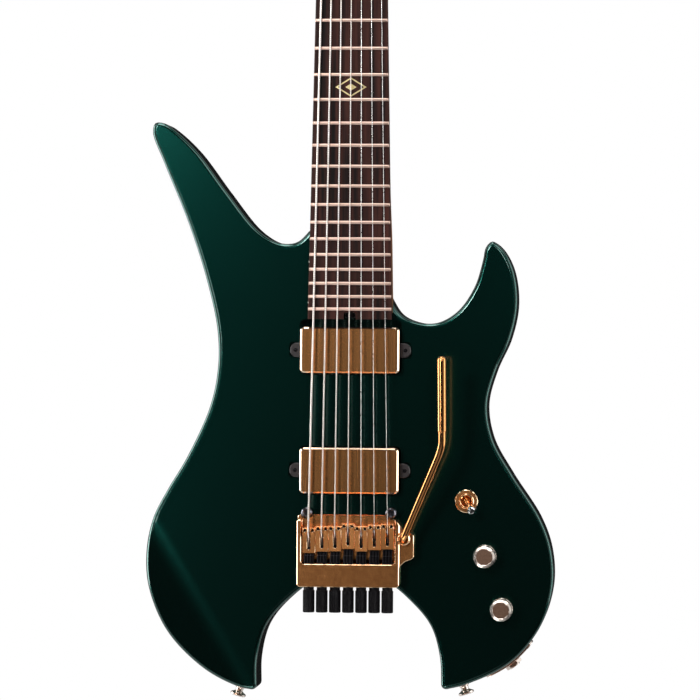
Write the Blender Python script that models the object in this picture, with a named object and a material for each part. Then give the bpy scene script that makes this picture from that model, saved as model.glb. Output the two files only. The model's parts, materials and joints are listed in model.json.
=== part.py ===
"""Headless seven-string electric guitar, built as its separate pieces.

The guitar stands upright: +Z runs up the neck, the front faces -Y, and +X is the treble side.
Inside this file every piece is drawn in the guitar's own coordinates. There, Z is zero at the
scale line under the saddles, Y is zero on the body's front face, and a height above that face
is -Y. The frame empty at the end moves this to the back face of the body.
"""

import math

import bmesh
import bpy
from mathutils import Matrix, Vector

# Scale, strings and frets
SCALE_LENGTH = 0.6731
FRETS = 24
STRINGS = 7
STRING_PITCH = 0.01056
NUT_STRING_PITCH = 0.00657
STRING_DIAMETERS = (0.00157, 0.00132, 0.00107, 0.00082, 0.0006, 0.0005, 0.00044)
BOARD_RADIUS = 0.406
FRET_HEIGHT = 0.0012
FRET_WIDTH = 0.0026
NUT_LIFT = 0.0005
BRIDGE_LIFT = 0.0026

# Clearance between pieces that sit on or in each other, and how far a cutting tool runs past its cut
FIT = 0.0003
OVERCUT = 0.01

# Body
BODY_THICKNESS = 0.0445
EDGE_ROUND = 0.0035
LEG_CORNER_RADIUS = 0.0046
REST_POINT = 0.140
OUTLINE_STEP = 0.0105
EDGE_STEP = 0.003
FOREARM_LINE = ((-0.1559, -0.0164), (-0.0869, -0.1299))
FOREARM_SLOPE = 0.30
FOREARM_BLEND = 0.009
BELLY_LINE = ((-0.0500, 0.1700), (-0.1200, -0.0100))
BELLY_SLOPE = 0.26
BELLY_BLEND = 0.012
BELLY_FADES = ((-0.034, 0.0), (-0.004, 0.5), (0.026, 1.0), (0.150, 1.0), (0.178, 0.5), (0.206, 0.0))
BELLY_SIDE = -0.047

# Neck and board
NUT_WIDTH = 0.048
LAST_FRET_WIDTH = 0.0675
BOARD_TOP = 0.013
BOARD_THICKNESS = 0.006
BOARD_TAIL = 0.008175
BOARD_END = SCALE_LENGTH * 2 ** (-FRETS / 12) - BOARD_TAIL
BOARD_CHAMFER = 0.0008
NECK_DEPTH_NUT = 0.0145
NECK_DEPTH_BODY = 0.0165
HEEL_DEPTH = 0.023
HEEL_START = 0.218
HEEL_BLEND = 0.045
NECK_MIDDLE = 0.45
WHEEL_NOTCH = 0.0055
TENON_END = BOARD_END + WHEEL_NOTCH
NECK_TAIL = 0.0389
NECK_END = SCALE_LENGTH + NECK_TAIL
NUT_THICKNESS = 0.005
WHEEL_RADIUS = 0.0042
WHEEL_THICKNESS = 0.0041
WHEEL_SHAFT_RADIUS = 0.0024
WHEEL_SHAFT_LENGTH = 0.012

# Headpiece
HEAD_GAP = 0.0018
HEAD_LENGTH = 0.028
HEAD_WIDTH = 0.050
HEAD_HEIGHT = 0.0094
HEAD_BORE_RADIUS = 0.0012
HEAD_BORE_DEPTH = 0.020

# Pickups
PICKUP_WIDTH = 0.0795
PICKUP_LENGTH = 0.0366
PICKUP_CORNER = 0.0032
PICKUP_TOP = 0.0100
COVER_WALL = 0.0010
COVER_SKIRT = 0.0016
PICKUP_BASE_THICKNESS = 0.0020
EAR_REACH = 0.00895
EAR_SPAN = PICKUP_WIDTH + 2 * EAR_REACH
EAR_LENGTH = 0.0115
EAR_TOP = 0.0016
EAR_HOLE_INSET = 0.0043
EAR_HOLE_SPACING = EAR_SPAN - 2 * EAR_HOLE_INSET
EAR_HOLE_RADIUS = 0.0016
NECK_PICKUP_GAP = 0.0066
NECK_PICKUP_Z = BOARD_END - NECK_PICKUP_GAP - PICKUP_LENGTH / 2
BRIDGE_PICKUP_Z = 0.0383
CAVITY_MARGIN = 0.0016
PICKUP_CAVITY_DEPTH = 0.0200

# Tremolo
PIVOT_Z = 0.0043
PIVOT_HEIGHT = 0.0055
STUD_SPACING = 0.0678
STUD_RADIUS = 0.0042
STUD_TOP = 0.0115
STUD_DEPTH = 0.018
STUD_CLEARANCE = 0.00055
PLATE_THICKNESS = 0.0030
PLATE_FRONT = 0.0028
WALL_TOP = 0.0150
SIDE_WALL = 0.0032
TRAY_MARGIN = 0.0009
PLATE_STEP = 0.0016
CHANNEL_RIB = 0.00196
CHANNEL_WIDTH = STRING_PITCH - CHANNEL_RIB
CHANNEL_HEIGHT = 0.0060
BAR_BACK_WALL = 0.0041
EAR_PLATE_TOP = 0.0125
ARM_COLLAR_RADIUS = 0.0047
ARM_COLLAR_TOP = 0.0165
ARM_OFFSET = 0.0037
ARM_Z = -0.0160
ARM_RADIUS = 0.0030
ARM_TIP_RADIUS = 0.0036
ARM_BORE_FLOOR = 0.0010
SADDLE_FRONTS = (-0.0078, -0.0065, -0.0062, -0.0042, -0.0061, -0.0049, -0.0042)
SADDLE_LENGTH = 0.0203
SADDLE_GAP = 0.0003
SADDLE_RIDGE = 0.0026
RIDGE_HALF = 0.0008
SADDLE_REAR_HEIGHT = 0.0050
SADDLE_SLOT = 0.0027
SLED_NOSE_WIDTH = 0.0050
SLED_NOSE_HEIGHT = 0.0026
SLED_NOSE_Z = -0.0160
SLED_ROOM = 0.0019
SLED_BLOCK_Z = min(SADDLE_FRONTS) - SADDLE_LENGTH - SLED_ROOM
SLED_BLOCK_LENGTH = 0.0140
SLED_BLOCK_END = SLED_BLOCK_Z - SLED_BLOCK_LENGTH
SLED_DRAW = 0.0049
BAR_SETBACK = 0.0068
BAR_FRONT = SLED_BLOCK_Z - BAR_SETBACK
BAR_LENGTH = 0.0183
ROD_RADIUS = 0.0019
ROD_REACH = 0.0139
ROD_END = BAR_FRONT - BAR_LENGTH - ROD_REACH
TUNER_GAP = 0.00106
TUNER_RADIUS = (STRING_PITCH - TUNER_GAP) / 2
TUNER_SPARE = 0.0003
TUNER_WALL = 0.0015
TUNER_NECK = 0.0023
BLOCK_HALF_WIDTH = 0.033
BLOCK_FRONT = -0.010
BLOCK_LENGTH = 0.014
BLOCK_DEPTH = 0.038
WELL_SIDE_ROOM = 0.0025
WELL_FRONT_ROOM = 0.0055
WELL_REAR_ROOM = 0.0120
WELL_HALF_WIDTH = BLOCK_HALF_WIDTH + WELL_SIDE_ROOM
WELL_FRONT = BLOCK_FRONT + WELL_FRONT_ROOM
WELL_BACK = BLOCK_FRONT - BLOCK_LENGTH - WELL_REAR_ROOM

# Spring cavity at the back
SPRING_CAVITY_HALF = 0.0265
SPRING_CAVITY_TOP = 0.088
SPRING_CAVITY_DEPTH = 0.0175
SPRING_RADIUS = 0.0040
SPRING_PITCH = 0.0165
SPRINGS = 3
HOOK_RADIUS = 0.0009
HOOK_LENGTH = 0.004
CLAW_Z = 0.074
CLAW_THICKNESS = 0.004
CLAW_SIDE_ROOM = 0.0025
CLAW_HALF_WIDTH = SPRING_CAVITY_HALF - CLAW_SIDE_ROOM
CLAW_HEIGHT = 0.011
CLAW_SCREW_RADIUS = 0.0020
CLAW_SCREW_REACH = 0.012
COVER_LEDGE = 0.0045
COVER_THICKNESS = 0.0020
COVER_CORNER = 0.006

# Controls
CONTROL_WALL = 0.006
VOLUME_AT = (0.1095, -0.0297)
TONE_AT = (0.1231, -0.0723)
SWITCH_AT = (0.0944, 0.0144)
KNOB_RADIUS = 0.0090
KNOB_HEIGHT = 0.0168
KNOB_FACE_RADIUS = 0.0064
SHAFT_RADIUS = 0.0030
SHAFT_DEPTH = 0.0120
POT_RADIUS = 0.0080
POT_DEPTH = 0.0115
POT_BUSH_RADIUS = 0.0040
RING_RADIUS = 0.00935
RING_HEIGHT = 0.0036
SWITCH_BUSH_RADIUS = 0.0059
SWITCH_BODY_HALF = 0.0080
SWITCH_BODY_DEPTH = 0.0180
LEVER_LENGTH = 0.0200
LEVER_TILT = math.radians(27.0)
LEVER_HEADING = math.radians(-55.6)
LEVER_ROD_RADIUS = 0.0015
LEVER_TIP_RADIUS = 0.0032
LEVER_BALL_RADIUS = 0.0018

# Jack and strap buttons
JACK_AT = (0.1305, -0.1153)
JACK_WALL = 0.0075
JACK_BUSH_RADIUS = 0.0046
JACK_BORE_RADIUS = 0.0033
JACK_NUT_RADIUS = 0.0074
JACK_NUT_HEIGHT = 0.0026
JACK_BODY_RADIUS = 0.0072
JACK_BODY_LENGTH = 0.014
JACK_PLATE_HALF_LENGTH = 0.0235
JACK_PLATE_HALF_WIDTH = 0.0105
JACK_PLATE_THICKNESS = 0.0014
BUTTON_FOOT_RADIUS = 0.0042
BUTTON_HEAD_RADIUS = 0.0065
BUTTON_NECK_RADIUS = 0.0031
BUTTON_HEIGHT = 0.0088
LEFT_BUTTON_AT = (-0.0893, -0.1378)
RIGHT_BUTTON_AT = (0.0922, -0.1342)
HORN_BUTTON_AT = (-0.1030, 0.2330)

# The body's outline, counterclockwise from the bass side of the neck. A third value marks a corner.
BODY_OUTLINE = (
    (-0.0310, 0.2350, "corner"), (-0.0427, 0.2230), (-0.0510, 0.2208), (-0.0616, 0.2227),
    (-0.0772, 0.2331), (-0.1012, 0.2629), (-0.1253, 0.2950), (-0.1424, 0.3115), (-0.1519, 0.3178),
    (-0.1600, 0.3182), (-0.1619, 0.3105), (-0.1525, 0.2859), (-0.1327, 0.2382), (-0.1170, 0.1903),
    (-0.1083, 0.1505), (-0.1078, 0.1201), (-0.1140, 0.0889), (-0.1330, 0.0467), (-0.1473, 0.0227),
    (-0.1596, -0.0015), (-0.1657, -0.0299), (-0.1639, -0.0591), (-0.1487, -0.0943),
    (-0.1184, -0.1237), (-0.0895, -0.1377), (-0.0743, -0.1402, "corner"), (-0.0740, -0.1139),
    (-0.0673, -0.0883), (-0.0518, -0.0685), (-0.0284, -0.0514), (0.0, -0.0455), (0.0288, -0.0508),
    (0.0513, -0.0682), (0.0664, -0.0871), (0.0736, -0.1120), (0.0748, -0.1384, "corner"),
    (0.0949, -0.1333), (0.1305, -0.1153), (0.1539, -0.0868), (0.1642, -0.0545), (0.1629, -0.0246),
    (0.1538, 0.0009), (0.1307, 0.0366), (0.1152, 0.0645), (0.1106, 0.0920), (0.1174, 0.1194),
    (0.1288, 0.1453), (0.1343, 0.1729), (0.1309, 0.2008), (0.1216, 0.2182), (0.1137, 0.2235),
    (0.1085, 0.2187), (0.1062, 0.2082), (0.0997, 0.1869), (0.0863, 0.1672), (0.0701, 0.1578),
    (0.0551, 0.1580), (0.0404, 0.1645), (0.0290, 0.1820, "corner"),
)

# The wall of the control cavity, a smooth closed curve round the switch, the pots and the jack
CONTROL_OUTLINE = (
    (0.0930, 0.0330), (0.0800, 0.0200), (0.0820, -0.0060), (0.0930, -0.0440), (0.1010, -0.0760),
    (0.1100, -0.0970), (0.1270, -0.1000), (0.1390, -0.0840), (0.1400, -0.0560), (0.1300, -0.0220),
    (0.1190, 0.0080), (0.1090, 0.0280),
)

# The tremolo arm: x and z from its socket, and height above the body's front face
ARM_ROUTE = (
    (0.0000, 0.0000, 0.0150), (0.0000, 0.0000, 0.0174), (0.0009, 0.0022, 0.0202), (0.0030, 0.0068, 0.0222),
    (0.0080, 0.0185, 0.0258), (0.0255, 0.0590, 0.0385), (0.0298, 0.0695, 0.0417),
    (0.0318, 0.0780, 0.0434), (0.0319, 0.0860, 0.0443),
)
ARM_SLEEVE = ((0.0319, 0.0870, 0.0443), (0.0314, 0.1468, 0.0480))


def smooth_outline(points, step):
    """Points along a closed curve through the given ones, with sharp corners where marked."""
    count = len(points)
    out = []
    for i, point in enumerate(points):
        here, there = Vector(point[:2]), Vector(points[(i + 1) % count][:2])
        before = here if len(point) > 2 else Vector(points[i - 1][:2])
        after = there if len(points[(i + 1) % count]) > 2 else Vector(points[(i + 2) % count][:2])
        pieces = max(1, round((there - here).length / step))
        for k in range(pieces):
            out.append(curve_point(before, here, there, after, k / pieces))
    return out


def curve_point(before, here, there, after, t):
    """A point on the centripetal curve between here and there."""
    chord = (there - here).length
    first = max((here - before).length, 1e-9)
    last = max((after - there).length, 1e-9)
    a, b, c = math.sqrt(first), math.sqrt(chord), math.sqrt(last)
    straight = there - here
    into = straight if first < 1e-8 else tangent(before, here, there, a, b)
    out_of = straight if last < 1e-8 else tangent(here, there, after, b, c, chord_first=True)
    t2, t3 = t * t, t * t * t
    return (
        (2 * t3 - 3 * t2 + 1) * here
        + (t3 - 2 * t2 + t) * into
        + (-2 * t3 + 3 * t2) * there
        + (t3 - t2) * out_of
    )


def tangent(p, q, r, d_pq, d_qr, chord_first=False):
    """The centripetal curve's slope at q, scaled to the stretch that is being drawn."""
    span = d_pq if chord_first else d_qr
    return span * ((q - p) / d_pq - (r - p) / (d_pq + d_qr) + (r - q) / d_qr)


def offset_outline(points, distance):
    """The outline moved outwards by a distance. It runs counterclockwise as seen from -Y."""
    count = len(points)
    out = []
    for i, point in enumerate(points):
        along = (points[(i + 1) % count] - points[i - 1]).normalized()
        out.append(point + Vector((along.y, -along.x)) * distance)
    return out


def loft(rings, closed=False):
    """One closed skin over rings of equally many points, with a cap at each end."""
    bm = bmesh.new()
    rows = [[bm.verts.new(p) for p in ring] for ring in rings]
    pairs = list(zip(rows, rows[1:])) + ([(rows[-1], rows[0])] if closed else [])
    for low, high in pairs:
        for i in range(len(low)):
            j = (i + 1) % len(low)
            bm.faces.new((low[i], low[j], high[j], high[i]))
    if not closed:
        bm.faces.new(rows[0])
        bm.faces.new(rows[-1])
    bmesh.ops.recalc_face_normals(bm, faces=bm.faces)
    return bm


def slab(outline, low, high):
    """An outline in X and Z, as thick as from height low to height high above the front face."""
    return loft([[(x, -h, z) for x, z in outline] for h in (low, high)])


def block(x, heights, z):
    """A box between two values of X, two heights and two values of Z."""
    corners = ((x[0], z[0]), (x[1], z[0]), (x[1], z[1]), (x[0], z[1]))
    return slab(corners, *heights)


def round_corners(bm, radius, segments, test):
    """Rounds the edges that pass the test."""
    edges = [e for e in bm.edges if test(*(v.co for v in e.verts))]
    bmesh.ops.bevel(
        bm, geom=edges, offset=radius, offset_type="OFFSET", segments=segments, profile=0.5,
        affect="EDGES", material=-1,
    )
    return bm


def along_depth(a, b):
    """True for an edge that runs straight from front to back."""
    return abs(a.x - b.x) < 1e-7 and abs(a.z - b.z) < 1e-7


def rounded_block(x, heights, z, radius, segments=3):
    """A box whose four upright corners, seen from the front, are round."""
    return round_corners(block(x, heights, z), radius, segments, along_depth)


def turned(profile, sides, closed=False):
    """A turned piece round its own +Z, from pairs of radius and place along the axis."""
    rings = []
    for radius, place in profile:
        turns = [2 * math.pi * (k + 0.5) / sides for k in range(sides)]
        rings.append([(radius * math.cos(t), radius * math.sin(t), place) for t in turns])
    return loft(rings, closed)


def chamfered(half_x, half_y, chamfer, centre_x, centre_y, z):
    """Eight points round a rectangle with cut corners, square to Z."""
    cx, cy = half_x - chamfer, half_y - chamfer
    corners = ((half_x, cy), (cx, half_y), (-cx, half_y), (-half_x, cy))
    corners += tuple((-x, -y) for x, y in corners)
    return [(centre_x + x, centre_y + y, z) for x, y in corners]


def octagon(radius, centre_x, centre_y, z):
    """Eight points round a rod that runs along Z."""
    flat = radius * math.cos(math.pi / 8)
    return chamfered(flat, flat, flat * (2 - math.sqrt(2)), centre_x, centre_y, z)


def facing(direction, at):
    """The matrix that stands a turned piece at a point, with its +Z along the direction."""
    return Matrix.Translation(at) @ direction.to_track_quat("Z", "Y").to_matrix().to_4x4()


def outwards(angle):
    """The direction in the face of the body at this angle from +X towards +Z."""
    return Vector((math.cos(angle), 0, math.sin(angle)))


FRONT = Vector((0, -1, 0))
BACK = Vector((0, 1, 0))


class Frame:
    """An empty that pieces hang from, and its place in the guitar's own coordinates."""

    def __init__(self, name, at, parent=None):
        self.at = Vector(at)
        self.empty = bpy.data.objects.new(name, None)
        self.empty.empty_display_size = 0.02
        bpy.context.scene.collection.objects.link(self.empty)
        if parent:
            self.empty.parent = parent.empty
            self.empty.location = self.at - parent.at


def make_material(name, colour, roughness, metallic):
    material = bpy.data.materials.new(name)
    material.use_nodes = True
    shader = material.node_tree.nodes["Principled BSDF"]
    shader.inputs["Base Color"].default_value = (*colour, 1.0)
    shader.inputs["Roughness"].default_value = roughness
    shader.inputs["Metallic"].default_value = metallic
    return material


def add_piece(name, bm, material, frame, at=None):
    """Turns a bmesh in the guitar's coordinates into an object whose origin is at a point."""
    at = frame.at if at is None else Vector(at)
    bmesh.ops.translate(bm, verts=bm.verts, vec=-at)
    mesh = bpy.data.meshes.new(name)
    bm.to_mesh(mesh)
    bm.free()
    piece = bpy.data.objects.new(name, mesh)
    bpy.context.scene.collection.objects.link(piece)
    piece.parent = frame.empty
    piece.location = at - frame.at
    if material:
        mesh.materials.append(material)
        mesh.shade_smooth()
        mesh.set_sharp_from_angle(angle=math.radians(32))
    return piece


def change(piece, bm, frame, operation="DIFFERENCE"):
    """Cuts a shape out of a piece, or joins it on, with an exact Boolean."""
    tool = add_piece(f"{piece.name}_tool_{len(piece.modifiers) + 1}", bm, None, frame)
    tool.hide_render = True
    tool.display_type = "WIRE"
    modifier = piece.modifiers.new(f"step_{len(piece.modifiers) + 1}", "BOOLEAN")
    modifier.operation = operation
    modifier.solver = "EXACT"
    modifier.object = tool


def rod_tool(radius, start, direction, length, sides=16):
    """A plain rod from a point along a direction, to bore a hole or to join on."""
    bm = turned(((radius, 0.0), (radius, length)), sides)
    bm.transform(facing(direction, start))
    return bm


def board_width(z):
    """The board's width, which tapers from the last fret to the nut."""
    last = fret_place(FRETS)
    share = min(max((z - last) / (SCALE_LENGTH - last), -1.0), 1.0)
    return LAST_FRET_WIDTH + (NUT_WIDTH - LAST_FRET_WIDTH) * share


def fret_place(number):
    """How far a fret lies from the scale line, in equal temperament."""
    return SCALE_LENGTH * 2 ** (-number / 12)


def crown_drop(x):
    """How far the board's round top has fallen this far from its middle."""
    return x * x / (2 * BOARD_RADIUS)


def string_radius(i):
    return STRING_DIAMETERS[i] / 2


def bridge_x(i):
    """A string's place across the bridge."""
    return (i - (STRINGS - 1) / 2) * STRING_PITCH


def string_x(i, z):
    nut_x = (i - (STRINGS - 1) / 2) * NUT_STRING_PITCH
    return bridge_x(i) + (nut_x - bridge_x(i)) * z / SCALE_LENGTH


def string_underside(i, z):
    """The height of a string's underside, on its line from the nut to the saddle."""
    share = z / SCALE_LENGTH
    lift = BRIDGE_LIFT + (NUT_LIFT - BRIDGE_LIFT) * share
    return BOARD_TOP + FRET_HEIGHT + lift - crown_drop(string_x(i, z))


def contour(distance, blend, slope):
    """How deep a contour cuts this far past its line: a soft bend and then an even slope."""
    knots = contour_knots(blend)
    depth = 0.0
    for k in range(1, len(knots)):
        low, high = knots[k - 1], knots[k]
        steepness = slope * (k - 0.5) / (len(knots) - 1)
        depth += steepness * min(max(distance - low, 0.0), high - low)
    return depth + slope * max(distance - knots[-1], 0.0)


def contour_knots(blend):
    return (-blend, -blend / 3, blend / 3, blend)


def line_frame(line):
    """A point on a contour's line, and the direction in which it falls away."""
    start, end = (Vector((x, 0, z)) for x, z in line)
    along = (end - start).normalized()
    return start, Vector((along.z, 0, -along.x))


def bend_lines(bm, start, normal, places, side, right_end=1.0):
    """Adds lines of vertices across one face of the slab, where a contour bends."""
    for place in places:
        faces = [f for f in bm.faces if f.normal.y * side > 0.3]
        faces = [f for f in faces if max(v.co.x for v in f.verts) < right_end + 1e-6]
        edges = {e for f in faces for e in f.edges}
        verts = {v for f in faces for v in f.verts}
        bmesh.ops.bisect_plane(
            bm, geom=[*verts, *edges, *faces], dist=1e-6, plane_co=start + normal * place,
            plane_no=normal,
        )


def fade(z):
    """The belly contour's share of its full depth at this height up the body."""
    for (low, a), (high, b) in zip(BELLY_FADES, BELLY_FADES[1:]):
        if low <= z <= high:
            return a + (b - a) * (z - low) / (high - low)
    return 0.0


def body_blank():
    """The body before its pockets: the outline, its round edges and its two contours."""
    outline = smooth_outline(BODY_OUTLINE, OUTLINE_STEP)
    bm = slab(outline, -BODY_THICKNESS, 0.0)
    corners = [Vector(p[:2]) for p in BODY_OUTLINE if len(p) > 2 and p[1] < 0]
    round_corners(
        bm, LEG_CORNER_RADIUS, 2,
        lambda a, b: along_depth(a, b) and any((Vector((a.x, a.z)) - c).length < 1e-6 for c in corners),
    )
    round_corners(bm, EDGE_ROUND, 2, lambda a, b: abs(a.y - b.y) < 1e-7)
    front_start, front_normal = line_frame(FOREARM_LINE)
    bend_lines(bm, front_start, front_normal, contour_knots(FOREARM_BLEND), -1)
    back_start, back_normal = line_frame(BELLY_LINE)
    bend_lines(bm, Vector(), Vector((1, 0, 0)), (BELLY_SIDE,), 1)
    bend_lines(bm, back_start, back_normal, contour_knots(BELLY_BLEND), 1)
    bend_lines(bm, Vector(), Vector((0, 0, 1)), [z for z, _ in BELLY_FADES], 1, BELLY_SIDE)
    for v in bm.verts:
        if v.co.y < EDGE_ROUND + 1e-6:
            v.co.y += contour((v.co - front_start).dot(front_normal), FOREARM_BLEND, FOREARM_SLOPE)
        elif v.co.y > BODY_THICKNESS - EDGE_ROUND - 1e-6:
            depth = contour((v.co - back_start).dot(back_normal), BELLY_BLEND, BELLY_SLOPE)
            v.co.y -= depth * fade(v.co.z)
    bmesh.ops.triangulate(bm, faces=bm.faces)
    return bm


def make_body(frame, paint):
    body = add_piece("body", body_blank(), paint, frame)
    change(body, neck_solid(FIT), frame)
    for z, top in ((NECK_PICKUP_Z, BOARD_END), (BRIDGE_PICKUP_Z, None)):
        for cavity in pickup_cavities(z, top):
            change(body, cavity, frame)
    for side in (-1, 1):
        at = (side * STUD_SPACING / 2, -STUD_TOP, PIVOT_Z)
        change(body, rod_tool(STUD_RADIUS + FIT, at, BACK, STUD_TOP + STUD_DEPTH + FIT), frame)
    well = block(
        (-WELL_HALF_WIDTH, WELL_HALF_WIDTH), (OVERCUT, -BODY_THICKNESS - OVERCUT), (WELL_BACK, WELL_FRONT)
    )
    change(body, well, frame)
    change(body, spring_cavity(), frame)
    change(body, cover_recess(spring_cover_outline(FIT)), frame)
    change(body, control_cavity(), frame)
    change(body, cover_recess(control_cover_outline(FIT)), frame)
    for x in claw_screw_places():
        start = (x, spring_axis_depth(), CLAW_Z)
        reach = SPRING_CAVITY_TOP + CLAW_SCREW_REACH - CLAW_Z + FIT
        change(body, rod_tool(CLAW_SCREW_RADIUS + FIT, start, Vector((0, 0, 1)), reach, 8), frame)
    for (x, z), radius in (
        (VOLUME_AT, POT_BUSH_RADIUS), (TONE_AT, POT_BUSH_RADIUS), (SWITCH_AT, SWITCH_BUSH_RADIUS)
    ):
        start = (x, -OVERCUT, z)
        change(body, rod_tool(radius + FIT, start, BACK, OVERCUT + CONTROL_WALL + 0.002), frame)
    outside, out = edge_axis(JACK_AT)
    start = outside + out * OVERCUT
    change(body, rod_tool(JACK_BUSH_RADIUS + FIT, start, -out, OVERCUT + JACK_WALL + 0.004), frame)
    change(body, rod_tool(JACK_BODY_RADIUS + FIT, outside - out * JACK_WALL, -out, 0.020), frame)
    return body


def neck_section(z, depth, squareness, grow):
    """One ring round the neck: a flat top and a round, or nearly square, back."""
    half = board_width(min(z, SCALE_LENGTH)) / 2 + grow
    top = BOARD_TOP - BOARD_THICKNESS - FIT
    ring = []
    steps = 12
    for k in range(steps + 1):
        turn = math.pi * k / steps
        power = 2 / (2 + squareness * 10)
        x = math.copysign(abs(math.cos(turn)) ** power, math.cos(turn)) * half
        h = top - abs(math.sin(turn)) ** power * (depth + grow)
        ring.append((x, -h, z))
    return ring


def neck_solid(grow=0.0):
    """The neck from its tenon in the body to its end, or a pocket for it that is a little larger."""
    heel = NECK_DEPTH_BODY
    stations = [
        (TENON_END - grow, HEEL_DEPTH, 1.0),
        (HEEL_START, HEEL_DEPTH, 1.0),
        (HEEL_START + HEEL_BLEND * 0.35, heel + (HEEL_DEPTH - heel) * 0.75, 0.72),
        (HEEL_START + HEEL_BLEND * 0.7, heel + (HEEL_DEPTH - heel) * 0.2, 0.3),
        (HEEL_START + HEEL_BLEND, heel, 0.1),
        (NECK_MIDDLE, (heel + NECK_DEPTH_NUT) / 2, 0.05),
        (SCALE_LENGTH - 0.03, NECK_DEPTH_NUT, 0.05),
        (SCALE_LENGTH - 0.004, NECK_DEPTH_NUT, 0.3),
        (NECK_END - 0.004, NECK_DEPTH_NUT, 0.4),
        (NECK_END + grow, NECK_DEPTH_NUT - 0.003, 0.4),
    ]
    return loft([neck_section(z, depth, square, grow) for z, depth, square in stations])


def make_neck(frame, wood):
    neck = add_piece("neck", neck_solid(), wood, frame)
    start = (0.0, -wheel_height(), TENON_END - 0.002)
    bore = rod_tool(
        WHEEL_SHAFT_RADIUS + FIT, start, Vector((0, 0, 1)), WHEEL_SHAFT_LENGTH + FIT + 0.002, 12
    )
    change(neck, bore, frame)


def make_fretboard(frame, wood):
    """The board with its frets, lofted from the body end to the nut."""
    def section(z, raised):
        half = board_width(z) / 2
        bottom = BOARD_TOP - BOARD_THICKNESS
        ring = [(-half, -bottom, z), (half, -bottom, z)]
        edge = half - BOARD_CHAMFER
        shoulder = half - 3 * BOARD_CHAMFER
        ring.append((half, -(BOARD_TOP - crown_drop(half) - BOARD_CHAMFER), z))
        for x in (edge, shoulder, half * 0.5, 0.0, -half * 0.5, -shoulder, -edge):
            lift = raised if abs(x) < edge - 1e-6 else 0.0
            ring.append((x, -(BOARD_TOP - crown_drop(x) + lift), z))
        ring.append((-half, -(BOARD_TOP - crown_drop(half) - BOARD_CHAMFER), z))
        return ring

    rings = [section(BOARD_END, 0.0)]
    for number in range(FRETS, 0, -1):
        z = fret_place(number)
        for place, share in ((-0.5, 0.0), (-0.28, 0.85), (0.28, 0.85), (0.5, 0.0)):
            rings.append(section(z + place * FRET_WIDTH, share * FRET_HEIGHT / 0.85))
    rings.append(section(SCALE_LENGTH, 0.0))
    board = add_piece("fretboard", loft(rings), wood, frame)
    notch_half = WHEEL_RADIUS + 0.0007
    notch = rounded_block(
        (-notch_half, notch_half), (0.0, BOARD_TOP + OVERCUT), (BOARD_END - OVERCUT, TENON_END), 0.002
    )
    change(board, notch, frame)


def wheel_height():
    return WHEEL_RADIUS + 0.0004


def make_truss_rod_wheel(frame, steel):
    """The spoke wheel before the tenon, on its shaft in the neck."""
    face = TENON_END - FIT
    profile = (
        (WHEEL_RADIUS - 0.0005, face - WHEEL_THICKNESS), (WHEEL_RADIUS, face - WHEEL_THICKNESS + 0.0005),
        (WHEEL_RADIUS, face - 0.0005), (WHEEL_RADIUS - 0.0005, face), (WHEEL_SHAFT_RADIUS, face),
        (WHEEL_SHAFT_RADIUS, TENON_END + WHEEL_SHAFT_LENGTH),
    )
    bm = turned(profile, 16)
    bmesh.ops.translate(bm, verts=bm.verts, vec=(0, -wheel_height(), 0))
    add_piece("truss_rod_wheel", bm, steel, frame, (0, -wheel_height(), face))


def nut_span():
    start = SCALE_LENGTH + FIT
    return start, start + NUT_THICKNESS


def make_nut(frame, bone):
    """The nut, with a slot for each string."""
    low, high = nut_span()
    half = NUT_WIDTH / 2
    bottom = BOARD_TOP - BOARD_THICKNESS
    tops = [(x, BOARD_TOP + FRET_HEIGHT + 0.0022 - crown_drop(x)) for x in (half, 0.0, -half)]
    ring = [(-half, bottom), (half, bottom), *tops]
    nut = add_piece("nut", loft([[(x, -h, z) for x, h in ring] for z in (low, high)]), bone, frame)
    for i in range(STRINGS):
        x = string_x(i, SCALE_LENGTH)
        half_slot = string_radius(i) + FIT
        floor = string_underside(i, SCALE_LENGTH) - FIT
        slot = block(
            (x - half_slot, x + half_slot), (floor, BOARD_TOP + OVERCUT), (low - 0.002, high + 0.002)
        )
        change(nut, slot, frame)


def head_front():
    return nut_span()[1] + HEAD_GAP


def anchor_height():
    """The height of the string bores in the headpiece."""
    return BOARD_TOP - BOARD_THICKNESS + HEAD_HEIGHT * 0.55


def make_headpiece(frame, gold):
    """The block on the neck's end that clamps the strings."""
    bottom = BOARD_TOP - BOARD_THICKNESS
    front, half = head_front(), HEAD_WIDTH / 2
    bm = rounded_block(
        (-half, half), (bottom, bottom + HEAD_HEIGHT), (front, front + HEAD_LENGTH), 0.004
    )
    top = -(bottom + HEAD_HEIGHT)
    round_corners(bm, 0.0008, 1, lambda a, b: abs(a.y - top) < 1e-7 and abs(b.y - top) < 1e-7)
    head = add_piece("headpiece", bm, gold, frame)
    for i in range(STRINGS):
        start = (string_x(i, front), -anchor_height(), front - 0.002)
        bore = rod_tool(HEAD_BORE_RADIUS, start, Vector((0, 0, 1)), HEAD_BORE_DEPTH + 0.002, 8)
        change(head, bore, frame)


def saddle_ridge_z(i):
    return SADDLE_FRONTS[i] - SADDLE_RIDGE


def saddle_break_z(i):
    """Where a string leaves its saddle's ridge and dips into the slot."""
    return saddle_ridge_z(i) - RIDGE_HALF


def anchor_on_sled(i):
    """Where a string is hooked on its sled, under the slot of its saddle."""
    z = SADDLE_FRONTS[i] - SADDLE_LENGTH * 0.74
    return Vector((bridge_x(i), -(tray_floor() + FIT * 2 + SLED_NOSE_HEIGHT + string_radius(i)), z))


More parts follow.
